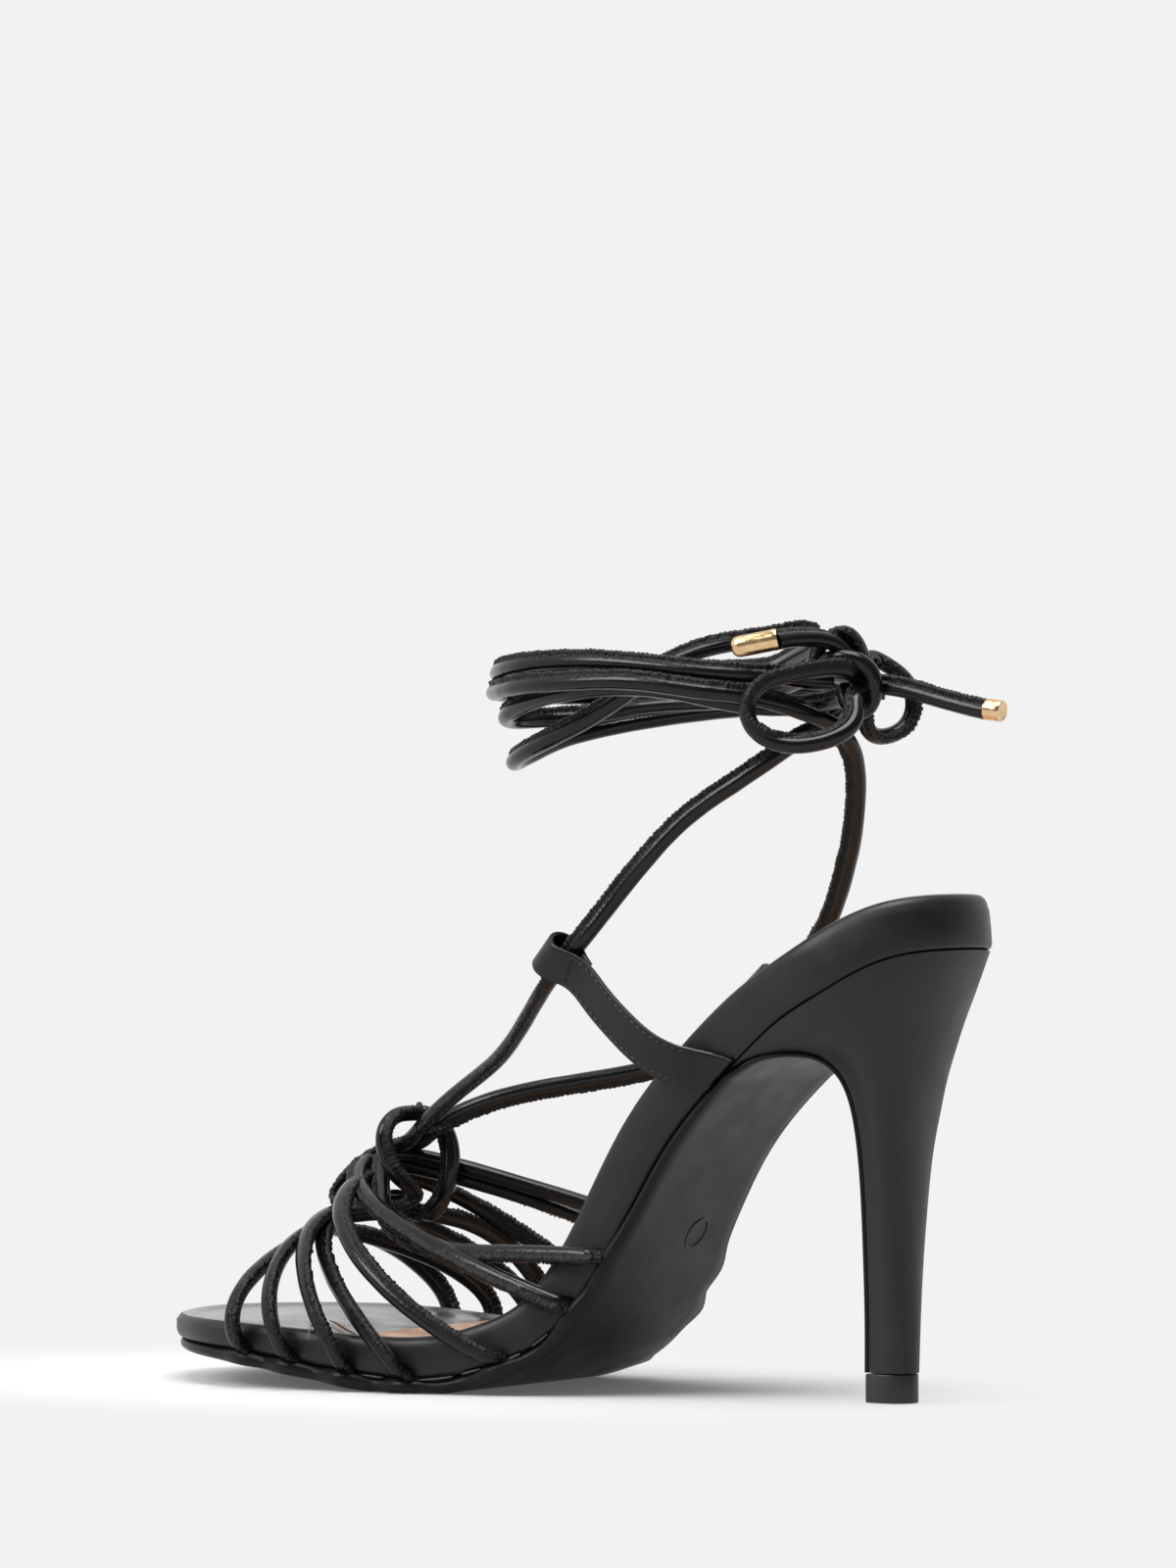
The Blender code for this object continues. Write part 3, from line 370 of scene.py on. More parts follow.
# Noise in the finishes: ranges, patches of colour and gloss, detail
SPREAD_RANGE = (0.3, 0.7)
TINT_RANGE = (0.35, 0.68)
GLOSS_VARY = 0.06
PATCH_SIZE = 9.0
PATCH_TINTS = (0.85, 1.2)
PATCH_DETAIL = 2.0
GRAIN_DETAIL = 4.0
FOLD_DETAIL = 1.0
# Finishes: material, colour, roughness, shine, grain size and depth, fold size and depth, gloss variation
LEATHERS = {
    "rim": ("rim_leather", (0.0085, 0.0086, 0.009), 0.42, 0.36, (0.45, 0.02), (7.0, 0.1)),
    # Footbed top: near-black leather whose grey colour here is partly painted sheen
    "bed": ("footbed_top_leather", (0.12, 0.12, 0.121), 0.26, 0.85, (0.6, 0.01), (9.0, 0.05)),
    "heel": ("heel_leather", (0.0098, 0.0099, 0.0102), 0.48, 0.42, (0.55, 0.05), (14.0, 0.1)),
    "strap": ("strap_leather", (0.0038, 0.0038, 0.004), 0.2, 0.33, (0.5, 0.02), (2.2, 0.05)),
    "seam": ("seam_leather", (0.0042, 0.0041, 0.0041), 0.28, 0.26, (0.32, 0.2), (0.9, 0.34), 0.1),
    "outsole": ("outsole_sheet", (0.0056, 0.0057, 0.0056), 0.38, 0.19, (0.7, 0.012), (16.0, 0.15)),
    "top_piece": ("top_piece_plastic", (0.019, 0.019, 0.0195), 0.42, 0.4, (0.4, 0.02)),
    "band": ("band_leather", (0.006, 0.006, 0.0062), 0.38, 0.35, (0.45, 0.025), (4.0, 0.06)),
    "thread": ("black_thread", (0.008, 0.008, 0.008), 0.42, 0.4, (0.25, 0.05)),
    "glue": ("dried_glue", (0.006, 0.006, 0.006), 0.16, 0.6, (0.4, 0.1)),
    "pale": ("raw_edge", (0.3, 0.27, 0.24), 0.7, 0.2, (0.4, 0.02)),
    "brown": ("lining_edge", (0.2, 0.085, 0.035), 0.6, 0.2, (0.4, 0.02)),
    "mark": ("pressed_ring", (0.03, 0.03, 0.03), 0.4, 0.4, (0.4, 0.02)),
}


def spline(knots, values):
    """Natural cubic curve through values at the knots, as a function."""
    x = np.asarray(knots, dtype=float)
    y = np.asarray(values, dtype=float)
    step = np.diff(x)
    count = len(x)
    matrix = np.eye(count)
    rhs = np.zeros(count)
    i = np.arange(1, count - 1)
    matrix[i, i - 1] = step[:-1]
    matrix[i, i] = 2 * (step[:-1] + step[1:])
    matrix[i, i + 1] = step[1:]
    rhs[i] = 6 * np.diff(np.diff(y) / step)
    bend = np.linalg.solve(matrix, rhs)

    def value(at):
        at = np.clip(at, x[0], x[-1])
        i = np.clip(np.searchsorted(x, at) - 1, 0, count - 2)
        left = (x[i + 1] - at) / step[i]
        right = 1 - left
        curve = (left ** 3 - left) * bend[i] + (right ** 3 - right) * bend[i + 1]
        return left * y[i] + right * y[i + 1] + curve * step[i] ** 2 / 6
    return value


SOLE = {name: spline([row[0] for row in SOLE_ROWS], [row[k] for row in SOLE_ROWS])
        for k, name in enumerate(SOLE_COLUMNS, start=1)}


def unit(vectors):
    vectors = np.asarray(vectors, dtype=float)
    return vectors / np.linalg.norm(vectors, axis=-1, keepdims=True)


def smooth_step(at, start, end):
    """Share that goes smoothly from 0 at the start to 1 at the end."""
    t = np.clip((at - start) / (end - start), 0.0, 1.0)
    return t * t * (3 - 2 * t)


def end_round(distance, length):
    """Share of the full width at a distance from a rounded end."""
    rest = np.clip(1 - distance / length, 0.0, 1.0)
    return np.sqrt(np.maximum(1 - rest ** ROUND_POWER, 0.0))


def sole_edges(u):
    """Outer and inner edge of the footbed at places along the shoe."""
    middle = TOE_APEX * smooth_step(u, TOE_CURVE_START, LENGTH)
    share = end_round(u - HEEL_BACK, HEEL_ROUND) * end_round(LENGTH - u, TOE_ROUND)
    return middle + (SOLE["outer"](u) - middle) * share, middle - (SOLE["inner"](u) + middle) * share


def sole_slope(u):
    """How much the footbed's underside rises over a millimetre."""
    return SOLE["underside"](u + 0.5) - SOLE["underside"](u - 0.5)


def on_sole(x, u, height):
    """Points at a height over the footbed's underside, along its normal."""
    slope = sole_slope(u)
    size = np.hypot(1.0, slope)
    x, u, height = np.broadcast_arrays(x, u, height)
    return np.stack([x, u - height * slope / size, SOLE["underside"](u) + height / size], axis=-1)


def stations(count):
    """Places along the shoe for its sections, close together at heel and toe."""
    return HEEL_BACK + (LENGTH - HEEL_BACK) * (0.5 - 0.5 * np.cos(np.pi * np.arange(count + 1) / count))


def to_world(points):
    points = np.asarray(points, dtype=float).reshape(-1, 3)
    return np.stack([points[:, 0] - MIDDLE_X, MIDDLE_U - points[:, 1], points[:, 2]], axis=1) * MM


def line_reach(points):
    """Length along a line at each of its points."""
    return np.concatenate([[0.0], np.cumsum(np.linalg.norm(np.diff(points, axis=0), axis=1))])


def smooth_path(points, count=None):
    """Even points on a smooth curve through the given ones, and the length along it at both."""
    given = np.array(points, dtype=float)
    reach = line_reach(given)
    at = np.linspace(0.0, reach[-1], count or int(reach[-1] / SEAM_STEP))
    return np.stack([spline(reach, given[:, k])(at) for k in range(3)], axis=1), reach, at


def even_path(points, step):
    """The same line with even steps."""
    reach = line_reach(points)
    at = np.linspace(0.0, reach[-1], int(reach[-1] / step))
    return np.stack([np.interp(at, reach, points[:, k]) for k in range(3)], axis=1)


def square_to(ways, tangent):
    """Unit directions nearest to the given ones at right angles to a path."""
    return unit(ways - (ways * tangent).sum(axis=1, keepdims=True) * tangent)


def wander(count, kind):
    """Seeded noise along a strap, smoothed over some steps."""
    smooth, size = WANDER[kind]
    noise = RANDOM.standard_normal(count + 4 * smooth)
    window = np.hanning(2 * smooth + 1)
    noise = np.convolve(noise, window / math.sqrt((window ** 2).sum()), mode="same")
    return size * noise[2 * smooth:2 * smooth + count]


# Meshes

def piece(name, points, faces, finishes, slot, node=None, which=(), sharp=50):
    """Mesh piece that rides with the shoe and may stand for one of its nodes."""
    mesh = bpy.data.meshes.new(name)
    mesh.from_pydata(to_world(points).tolist(), [], faces)
    bm = bmesh.new()
    bm.from_mesh(mesh)
    bmesh.ops.recalc_face_normals(bm, faces=bm.faces)
    bm.to_mesh(mesh)
    bm.free()
    mesh.shade_smooth()
    mesh.set_sharp_from_angle(angle=math.radians(sharp))
    for finish in finishes:
        mesh.materials.append(FINISHES[finish])
    index = np.zeros(len(faces), dtype=np.int32)
    index[:len(which)] = which
    mesh.polygons.foreach_set("material_index", index)
    obj = bpy.data.objects.new(name, mesh)
    bpy.context.scene.collection.objects.link(obj)
    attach(obj, "root")
    if node:
        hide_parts(node)
    return obj


def tube(rings):
    """Points and faces of a skin through rings of equal size, open at both ends."""
    rings = np.asarray(rings, dtype=float)
    count, size, _ = rings.shape
    row = np.arange(count - 1)[:, None] * size
    here = np.arange(size)[None, :]
    after = (here + 1) % size
    quads = np.stack([row + here, row + after, row + size + after, row + size + here], axis=-1)
    return rings.reshape(-1, 3), quads.reshape(-1, 4).tolist()


def loft(rings):
    """Tube that is closed by a fan at each end."""
    points, faces = tube(rings)
    count = len(points)
    size = len(rings[0])
    last = count - size
    for k in range(size):
        faces.append((k, (k + 1) % size, count))
        faces.append((last + k, last + (k + 1) % size, count + 1))
    return np.vstack([points, points[:size].mean(axis=0), points[last:].mean(axis=0)]), faces


def sweep(path, first, second, first_way, second_way):
    """Rings along a path, each point given by its distances in two directions."""
    return (path[:, None, :] + first[..., None] * first_way[:, None, :]
            + second[..., None] * second_way[:, None, :])


def rolled_section():
    """Points round a rolled strap as (towards the seam, across, share of seam), closed."""
    turn = np.radians(np.linspace(BODY_OPEN, 360 - BODY_OPEN, BODY_POINTS))
    body = [(BODY_RADIUS * math.cos(t), BODY_RADIUS * math.sin(t), 0.0) for t in turn]
    below = [(a, -b, share) for a, b, share in SEAM_POINTS]
    return np.array(body + below + list(SEAM_POINTS)[::-1])


def rolled_strap(name, path, towards, node=None):
    """Leather rolled round a core along a path, with its sewn seam turned one way."""
    tangent = unit(np.gradient(path, axis=0))
    seam_way = square_to(towards, tangent)
    section = rolled_section()
    share = section[:, 2]
    count = len(path)
    phase = 2 * np.pi * (np.arange(count) * SEAM_STEP) / SEAM_PITCH
    edge = SEAM_NOTCH * np.sin(phase + wander(count, "phase")) + wander(count, "edge")
    puff = SEAM_PUFF * np.sin(phase + SEAM_PUFF_LAG) + wander(count, "puff")
    wave = wander(count, "bend") + wander(count, "fray")
    body = 1 + (1 - share) * wander(count, "body")[:, None]
    a = section[:, 0] + SECTION_SHIFT + share * edge[:, None]
    b = section[:, 1] * (1 + share * puff[:, None]) + share * wave[:, None]
    skin = loft(sweep(path, a * body, b * body, seam_way, np.cross(tangent, seam_way)))
    seam_face = (share > SEAM_SHARE) | (np.roll(share, -1) > SEAM_SHARE)
    which = np.tile(seam_face, count - 1)
    return piece(name, *skin, ("strap", "seam"), "black_strap", node, which, sharp=75)


def seam_sides(keys, reach, at):
    """Seam direction along a route from its values at some of the route's points."""
    places = [reach[i] for i, _ in keys]
    return unit(np.stack([np.interp(at, places, [v[k] for _, v in keys]) for k in range(3)], axis=1))


# Materials

def set_inputs(node, **values):
    """Values for some inputs of a node; an underscore in a name stands for a space."""
    for socket, value in values.items():
        node.inputs[socket.replace("_", " ")].default_value = value


def add_node(tree, kind, **values):
    """New shader node with values for some of its inputs."""
    node = tree.nodes.new("ShaderNode" + kind)
    set_inputs(node, **values)
    return node


def join(tree, *rows):
    """Links, each given as a node, its output, the next node and its input."""
    for source, output, target, socket in rows:
        tree.links.new(source.outputs[output], target.inputs[socket])


def shader(name, colour, **values):
    """Principled material and its parts for further nodes."""
    made = bpy.data.materials.new(name)
    made.use_nodes = True
    main = made.node_tree.nodes["Principled BSDF"]
    set_inputs(main, Base_Color=(*colour, 1.0), **values)
    return made, made.node_tree, main


def noise_node(tree, size_mm, detail, stretch=(1.0, 1.0, 1.0)):
    """Noise over the object's own space with features of a size in millimetres."""
    where = add_node(tree, "TexCoord")
    scale = add_node(tree, "Mapping", Scale=stretch)
    noise = add_node(tree, "TexNoise", Scale=1.0 / (size_mm * MM), Detail=detail)
    join(tree, (where, "Object", scale, "Vector"), (scale, "Vector", noise, "Vector"))
    return noise


def spread(tree, noise, low, high, main):
    """Roughness that follows the middle range of a noise, from low to high."""
    least, most = SPREAD_RANGE
    reach = add_node(tree, "MapRange", From_Min=least, From_Max=most, To_Min=low, To_Max=high)
    join(tree, (noise, "Fac", reach, "Value"), (reach, "Result", main, "Roughness"))


def tint(tree, noise, dark, light, main):
    """Colour between two that follows a noise."""
    ramp = add_node(tree, "ValToRGB")
    for element, place, colour in zip(ramp.color_ramp.elements, TINT_RANGE, (dark, light)):
        element.position = place
        element.color = (*colour, 1.0)
    join(tree, (noise, "Fac", ramp, "Fac"), (ramp, "Color", main, "Base Color"))


def relief(tree, main, *layers):
    """Bumps on top of each other, each a noise and its depth in millimetres."""
    under = None
    for noise, depth_mm in layers:
        bump = add_node(tree, "Bump", Strength=1.0, Distance=depth_mm * MM)
        join(tree, (noise, "Fac", bump, "Height"))
        if under:
            join(tree, (under, "Normal", bump, "Normal"))
        under = bump
    join(tree, (under, "Normal", main, "Normal"))


def leather(name, colour, roughness, shine, grain, folds=None, vary=GLOSS_VARY):
    """Leather or the like, with fine grain, soft folds and uneven colour and gloss."""
    made, tree, main = shader(name, colour, Roughness=roughness, Specular_IOR_Level=shine)
    patches = noise_node(tree, PATCH_SIZE, PATCH_DETAIL)
    spread(tree, patches, roughness - vary, roughness + vary, main)
    tint(tree, patches, *[[share * c for c in colour] for share in PATCH_TINTS], main)
    layers = [(noise_node(tree, grain[0], GRAIN_DETAIL), grain[1])]
    if folds:
        layers.append((noise_node(tree, folds[0], FOLD_DETAIL), folds[1]))
    relief(tree, main, *layers)
    return made


def sock_finish():
    """Beige lining leather with a fine nap."""
    made, tree, main = shader("sock_leather", (0.55, 0.36, 0.25), Roughness=0.7, Specular_IOR_Level=0.3)
    tint(tree, noise_node(tree, 12.0, 3.0), (0.52, 0.335, 0.235), (0.62, 0.42, 0.31), main)
    relief(tree, main, (noise_node(tree, 0.5, 5.0), 0.06))
    return made


def gold_finish():
    """Polished gold-coloured metal with fine scratches."""
    made, tree, main = shader("gold_metal", (0.8, 0.55, 0.3), Roughness=0.2, Metallic=1.0)
    marks = noise_node(tree, 1.2, 4.0, (1.0, 0.2, 1.0))
    spread(tree, marks, 0.14, 0.3, main)
    tint(tree, marks, (0.72, 0.48, 0.25), (0.86, 0.61, 0.35), main)
    relief(tree, main, (marks, 0.03))
    return made


FINISHES = {key: leather(*row) for key, row in LEATHERS.items()}
FINISHES["sock"] = sock_finish()
FINISHES["gold"] = gold_finish()


# Sole

def outline(places, inset):
    """Closed outline of the footbed in (x, u): heel back, outer side, toe, inner side."""
    outer, inner = sole_edges(places)
    points = np.concatenate([np.stack([outer, places], axis=1), np.stack([inner, places], axis=1)[-2:0:-1]])
    tangent = unit(np.roll(points, -1, axis=0) - np.roll(points, 1, axis=0))
    outward = np.stack([tangent[:, 1], -tangent[:, 0]], axis=1)
    return points - inset * outward


def paired_grid(loop, columns, first):
    """Inner points, numbered from first, and faces that fill a loop whose two sides run in pairs."""
    size = len(loop)
    half = size // 2
    side = np.arange(1, half)
    shares = (np.arange(1, columns) / columns)[:, None]
    inner = np.concatenate([loop[i] + shares * (loop[size - i] - loop[i]) for i in side])
    grid = np.column_stack([side, first + np.arange(len(inner)).reshape(half - 1, -1), size - side])
    quads = np.stack([grid[:-1, :-1], grid[1:, :-1], grid[1:, 1:], grid[:-1, 1:]], axis=-1)
    faces = quads.reshape(-1, 4).tolist()
    rear = grid[0].tolist()
    front = grid[-1].tolist()
    for k in range(columns):
        faces.append((0, rear[k], rear[k + 1]))
        faces.append((half, front[k + 1], front[k]))
    return inner, faces


def make_footbed():
    places = stations(FOOTBED_SECTIONS)
    rings = []
    for inset, share, offset in RIM_ROWS:
        loop = outline(places, inset)
        softer = 1 + REAR_SOFTER * share * (1 - smooth_step(loop[:, 1], 0.0, REAR_SOFT_LENGTH))
        rings.append(on_sole(loop[:, 0], loop[:, 1], share * SOLE["rim"](loop[:, 1]) + softer * offset))
    rings = np.array(rings)
    points, body = tube(rings)
    size = rings.shape[1]
    first = len(points)
    last_ring = (len(RIM_ROWS) - 1) * size
    top, top_faces = paired_grid(rings[-1], BED_COLUMNS, first)
    top_faces = [tuple(i if i >= first else i + last_ring for i in f) for f in top_faces]
    low, low_faces = paired_grid(rings[0], LOW_COLUMNS, first + len(top))
    which = np.zeros(len(body) + len(top_faces), dtype=int)
    # Top rings and the top take the footbed top finish, whose grey colour is partly painted sheen
    which[len(body) - BED_RINGS * size:] = 1
    piece("footbed_cover", np.vstack([points, top, low]), body + top_faces + low_faces, ("rim", "bed"),
          "black_satin", "footbed", which)


def strap_swell(u, side):
    """How far the outsole swells over the strap feet at one side."""
    column = STRAP_COLUMNS.index(side + "_foot")
    most, length, shift = OUTSOLE_SWELL[side]
    swell = np.zeros_like(u)
    for number, row in enumerate(STRAP_ROWS):
        size = most * (SWELL_LEAST + SWELL_VARY * (number * SWELL_STEP % 1.0))
        away = (u - row[column] - shift) / length
        swell = np.maximum(swell, size * np.exp(-away ** 2))
    return swell


def sheet_section(outer, inner, depth, lift_outer, lift_inner):
    """Outsole section as (x, depth below its path), with rounded edges that lift where straps go in."""
    ease = min(SHEET_ROUND[0] * depth, SHEET_ROUND[1] * (outer - inner))
    across = outer - ease + np.linspace(0.0, 1.0, SHEET_COLUMNS) * (inner - outer + 2 * ease)
    top = [(x, 0.0) for x in across]
    top[0] = (across[0], -lift_outer)
    top[-1] = (across[-1], -lift_inner)
    bottom = [(x, depth) for x in across[::-1]]
    inner_edge = [(inner + a * ease, b * depth - c * lift_inner) for a, b, c in SHEET_EDGE]
    outer_edge = [(outer - a * ease, b * depth - c * lift_outer) for a, b, c in SHEET_EDGE[::-1]]
    return np.array(top + inner_edge + bottom + outer_edge)


def flap_rings():
    """Sections of the outsole's flap, down the heel breast."""
    rows = [(SEAT_FRONT, SOLE["underside"](SEAT_FRONT) - GAP, BREAST_HALF)]
    rows += [(row[0], row[1], row[4]) for row in HEEL_ROWS]
    path = smooth_path(rows, FLAP_SECTIONS)[0][FLAP_SKIP:]
    rings = []
    for (u, z, half), (along, rise) in zip(path, unit(np.gradient(path[:, :2], axis=0))):
        section = sheet_section(half + FLAP_MARGIN, -half - FLAP_MARGIN, FLAP_THICKNESS, 0.0, 0.0)
        depth = FLAP_CLEARANCE + section[:, 1]
        height = np.maximum(z + depth * along, TOP_PIECE_HEIGHT + CLEARANCE)
        rings.append(np.column_stack([section[:, 0], u - depth * rise, height]))
    return rings


def make_outsole():
    thickness = spline(*zip(*OUTSOLE_THICKNESS))
    front = LENGTH - OUTSOLE_TOE
    places = np.linspace(OUTSOLE_REAR, front - TOE_LENGTH, OUTSOLE_SECTIONS)
    toe = front - TOE_LENGTH * np.cos(np.linspace(0.0, 0.5 * np.pi, TOE_SECTIONS)) ** 2
    places = np.concatenate([places, toe[1:-1], [front - TOE_END]])[::-1]
    outer, inner = sole_edges(places + OUTSOLE_TOE * smooth_step(places, TOE_START, front))
    edge = OUTSOLE_EDGE * smooth_step(places, OUTSOLE_REAR, OUTSOLE_WAIST)
    swells = [strap_swell(places, side) for side in ("outer", "inner")]
    outer = outer + edge + swells[0]
    inner = inner - edge - swells[1]
    lifts = [SWELL_LIFT * swell for swell in swells]
    rings = []
    for u, *row in zip(places, outer, inner, thickness(places), *lifts):
        section = sheet_section(*row)
        ring = on_sole(section[:, 0], np.full(len(section), u), -CLEARANCE - section[:, 1])
        rings.append(np.column_stack([ring[:, :2], np.maximum(ring[:, 2], 0.0)]))
    piece("outsole_sheet", *loft(rings + flap_rings()), ("outsole",), "black_rubber", "outsole")


def heel_ring(back, breast, halves):
    """Points of a heel section: back point, outer side, breast point, inner side."""
    t = 1 - np.cos(0.5 * np.pi * np.arange(1, HEEL_POINTS + 1) / HEEL_POINTS)
    breast_half, half = halves
    front = half + (breast_half - half) * smooth_step(t, HEEL_WIDEST, 1.0)
    half = np.where(t < HEEL_WIDEST, half * end_round(t, HEEL_WIDEST), front)
    x = np.concatenate([[0.0], half, [0.0], -half[::-1]])
    share = np.concatenate([[0.0], t, [1.0], t[::-1]])
    back = np.array(back)
    return np.column_stack([x, back + share[:, None] * (np.array(breast) - back)])


def make_heel():
    outer, inner = sole_edges(np.array(SEAT_FRONT))
    halves = (min(outer, -inner) - SEAT_INSET, SOLE["outer"](HEEL_ROUND) - SEAT_INSET)
    seat = heel_ring((SEAT_BACK, 0.0), (SEAT_FRONT, 0.0), halves)
    seat = on_sole(seat[:, 0], seat[:, 1], -SEAT_CLEARANCE)
    rows = np.array([seat] + [heel_ring(row[2:4], row[0:2], row[4:6]) for row in HEEL_ROWS])
    knots = line_reach(rows.mean(axis=1))
    at = np.linspace(0.0, knots[-1], HEEL_SECTIONS)
    lines = [[spline(knots, rows[:, k, c])(at) for c in range(3)] for k in range(rows.shape[1])]
    piece("heel_cover", *loft(np.array(lines).transpose(2, 0, 1)), ("heel",), "black_grained", "heel")


def make_top_piece():
    breast, _, back, _, breast_half, half = HEEL_ROWS[-1]
    breast = breast + FLAP_THICKNESS - CLEARANCE
    rings = [heel_ring((back - edge, z), (breast + edge, z), (breast_half + edge, half + edge))
             for z, edge in TOP_PIECE_RINGS]
    piece("top_piece_block", *loft(rings), ("top_piece",), "black_plastic", "top_piece")


def make_sock():
    share = 1 - np.cos(0.5 * np.pi * np.arange(SOCK_SECTIONS + 1) / SOCK_SECTIONS)
    across = np.linspace(0.0, 1.0, SOCK_COLUMNS)
    front = np.linspace(*SOCK_FRONT, SOCK_COLUMNS)
    rings = []
    for s in share:
        u = SOCK_REAR + s * (front - SOCK_REAR)
        outer, inner = sole_edges(np.maximum(u, HEEL_ROUND))
        narrow = end_round(u - SOCK_REAR + SOCK_END, HEEL_ROUND - SOCK_REAR)
        x = narrow * (outer - SOCK_INSET + across * (inner - outer + 2 * SOCK_INSET))
        height = SOLE["rim"](u) + SOCK_TOP
        rings.append(np.concatenate([on_sole(x, u, height), on_sole(x, u, height - SOCK_THICKNESS)[::-1]]))
    piece("sock_lining_sheet", *loft(rings), ("sock",), "beige_lining", "sock_lining")


# Straps

def strap_half(row, side):
    """Points of one half of a strap, from its foot to its crest, on a cubic curve."""
    strap = dict(zip(STRAP_COLUMNS, row))
    word = "outer" if side > 0 else "inner"
    u = np.array(strap[word + "_foot"])
    edge = sole_edges(u)[0 if side > 0 else 1]
    foot = on_sole(edge + side * (STRAP_RADIUS + GAP), u, STRAP_FOOT_HEIGHT)
    crest = np.array((strap["crest_x"], strap["crest_u"], strap["crest_z"]))
    leave = np.array((side * STRAP_BULGE, strap[word + "_lean"], 1.0))
    leave *= STRAP_RISE * np.linalg.norm(crest - foot) / np.linalg.norm(leave)
    over = side * np.array((1.0, strap["run_u"], strap["run_z"]))
    over *= strap[word + "_reach"] * abs(foot[0] - crest[0])
    t = np.linspace(0.0, 1.0, STRAP_POINTS)[:, None]
    curve = ((1 - t) ** 3 * foot + 3 * (1 - t) ** 2 * t * (foot + leave)
             + 3 * (1 - t) * t * t * (crest + over) + t ** 3 * crest)
    tuck = foot - STRAP_TUCK * unit(leave) - np.array((side * STRAP_TUCK, 0.0, 0.0))
    return np.vstack([tuck, curve])


def make_straps():
    for number, (row, turns) in enumerate(zip(STRAP_ROWS, SEAM_TURNS), start=1):
        path = even_path(np.vstack([strap_half(row, 1), strap_half(row, -1)[-2::-1]]), SEAM_STEP)
        tangent = unit(np.gradient(path, axis=0))
        normal = square_to((path - STRAP_AXIS) * (1, 0, 1), tangent)
        back = np.cross(tangent, normal)
        crest = int(np.argmax(path[:, 2]))
        if back[crest, 1] > 0:
            back = -back
        turn = np.radians(np.interp(np.arange(len(path)), [0, crest, len(path) - 1], turns))[:, None]
        rolled_strap("strap_%d" % number, path, np.cos(turn) * back + np.sin(turn) * normal,
                     "upper" if number == 1 else None)


def band_section():
    """Points round a flat band as (across, through), with rounded edges."""
    w = 0.5 * BAND_WIDTH
    t = 0.5 * BAND_THICKNESS
    half = [(w - inset, share * t) for inset, share in BAND_EDGE]
    half += [(x, -t) for x in np.linspace(w - BAND_FACE_INSET, BAND_FACE_INSET - w, BAND_FACE_POINTS)]
    return np.array(half + [(-x, -y) for x, y in half])


def stitches(name, rows):
    """Short raised threads, each given by its start, its end and the way out."""
    points = []
    faces = []
    angle = 2 * np.pi * np.arange(STITCH_SIDES)[:, None] / STITCH_SIDES
    last = len(STITCH_LIFT) - 1
    for start, end, up in rows:
        around = STITCH_RADIUS * (np.cos(angle) * np.cross(unit(end - start), up) + np.sin(angle) * up)
        rings = [start + r / last * (end - start) + (height - STITCH_SUNK) * STITCH_RADIUS * up + around
                 for r, height in enumerate(STITCH_LIFT)]
        thread, sides = tube(rings)
        ends = [range(STITCH_SIDES), range(last * STITCH_SIDES, len(thread))]
        faces += [tuple(len(points) + i for i in f) for f in sides + ends]
        points += list(thread)
    piece(name, np.array(points), faces, ("thread",), "black_strap")


def loop_route(band, eye, axis, outward):
    """Middle line of a loop strap: along its band, round the lace and back behind."""
    middle = np.array(eye)
    last = np.array(band[-1])
    onward = middle - last
    onward = unit(onward - (onward @ axis) * axis)
    out = np.cross(axis, onward)
    if out[0] * outward < 0:
        out = -out
    radius = EYE_BORE + 0.5 * BAND_THICKNESS
    turns = np.radians(np.linspace(EYE_TURN, -EYE_TURN, EYE_POINTS))
    wrap = [middle + radius * (math.sin(t) * out + math.cos(t) * onward) for t in turns]
    behind = [last - (BAND_THICKNESS + GAP) * out + place * onward for place in BAND_RETURN]
    return [np.array(p) for p in band[:-1]] + [last + BAND_FRONT * out] + wrap + behind


def loop_foot(section, outward, facing):
    """Section of a loop strap where it leaves the sole, lying along the rim."""
    ends = []
    for u in np.array(BAND_FOOT):
        edge = sole_edges(u)[0 if outward > 0 else 1]
        ends.append(on_sole(edge + BAND_FOOT_OUT * outward, u, BAND_FOOT_HEIGHT))
    along = section[:, :1] / BAND_WIDTH * (ends[0] - ends[1])
    return 0.5 * (ends[0] + ends[1]) + along + section[:, 1:] * np.array((facing * outward, 0.0, 0.0))


def loop_stitches(path, across, out, first, stop):
    """Stitches along both edges of a loop strap and across it at its eye."""
    rows = []
    lift = 0.5 * BAND_THICKNESS * out
    for edge in (-1, 1):
        line = path + edge * (0.5 * BAND_WIDTH - STITCH_INSET) * across + lift
        line = even_path(line[first:stop], STITCH_GRID)
        order = np.linspace(first, stop - 1, len(line))
        ways = unit(np.stack([np.interp(order, np.arange(len(path)), out[:, c]) for c in range(3)], axis=1))
        for k in range(STITCH_FIRST, len(line) - STITCH_SPAN - STITCH_FIRST, STITCH_PITCH):
            rows.append((line[k], line[k + STITCH_SPAN], ways[k + STITCH_SPAN // 2]))
    over = path[stop] + lift[stop]
    for k in range(-2, 2):
        start, end = [over + (CROSS_PITCH * k + place) * across[stop] for place in CROSS_ENDS]
        rows.append((start, end, out[stop]))
    return rows


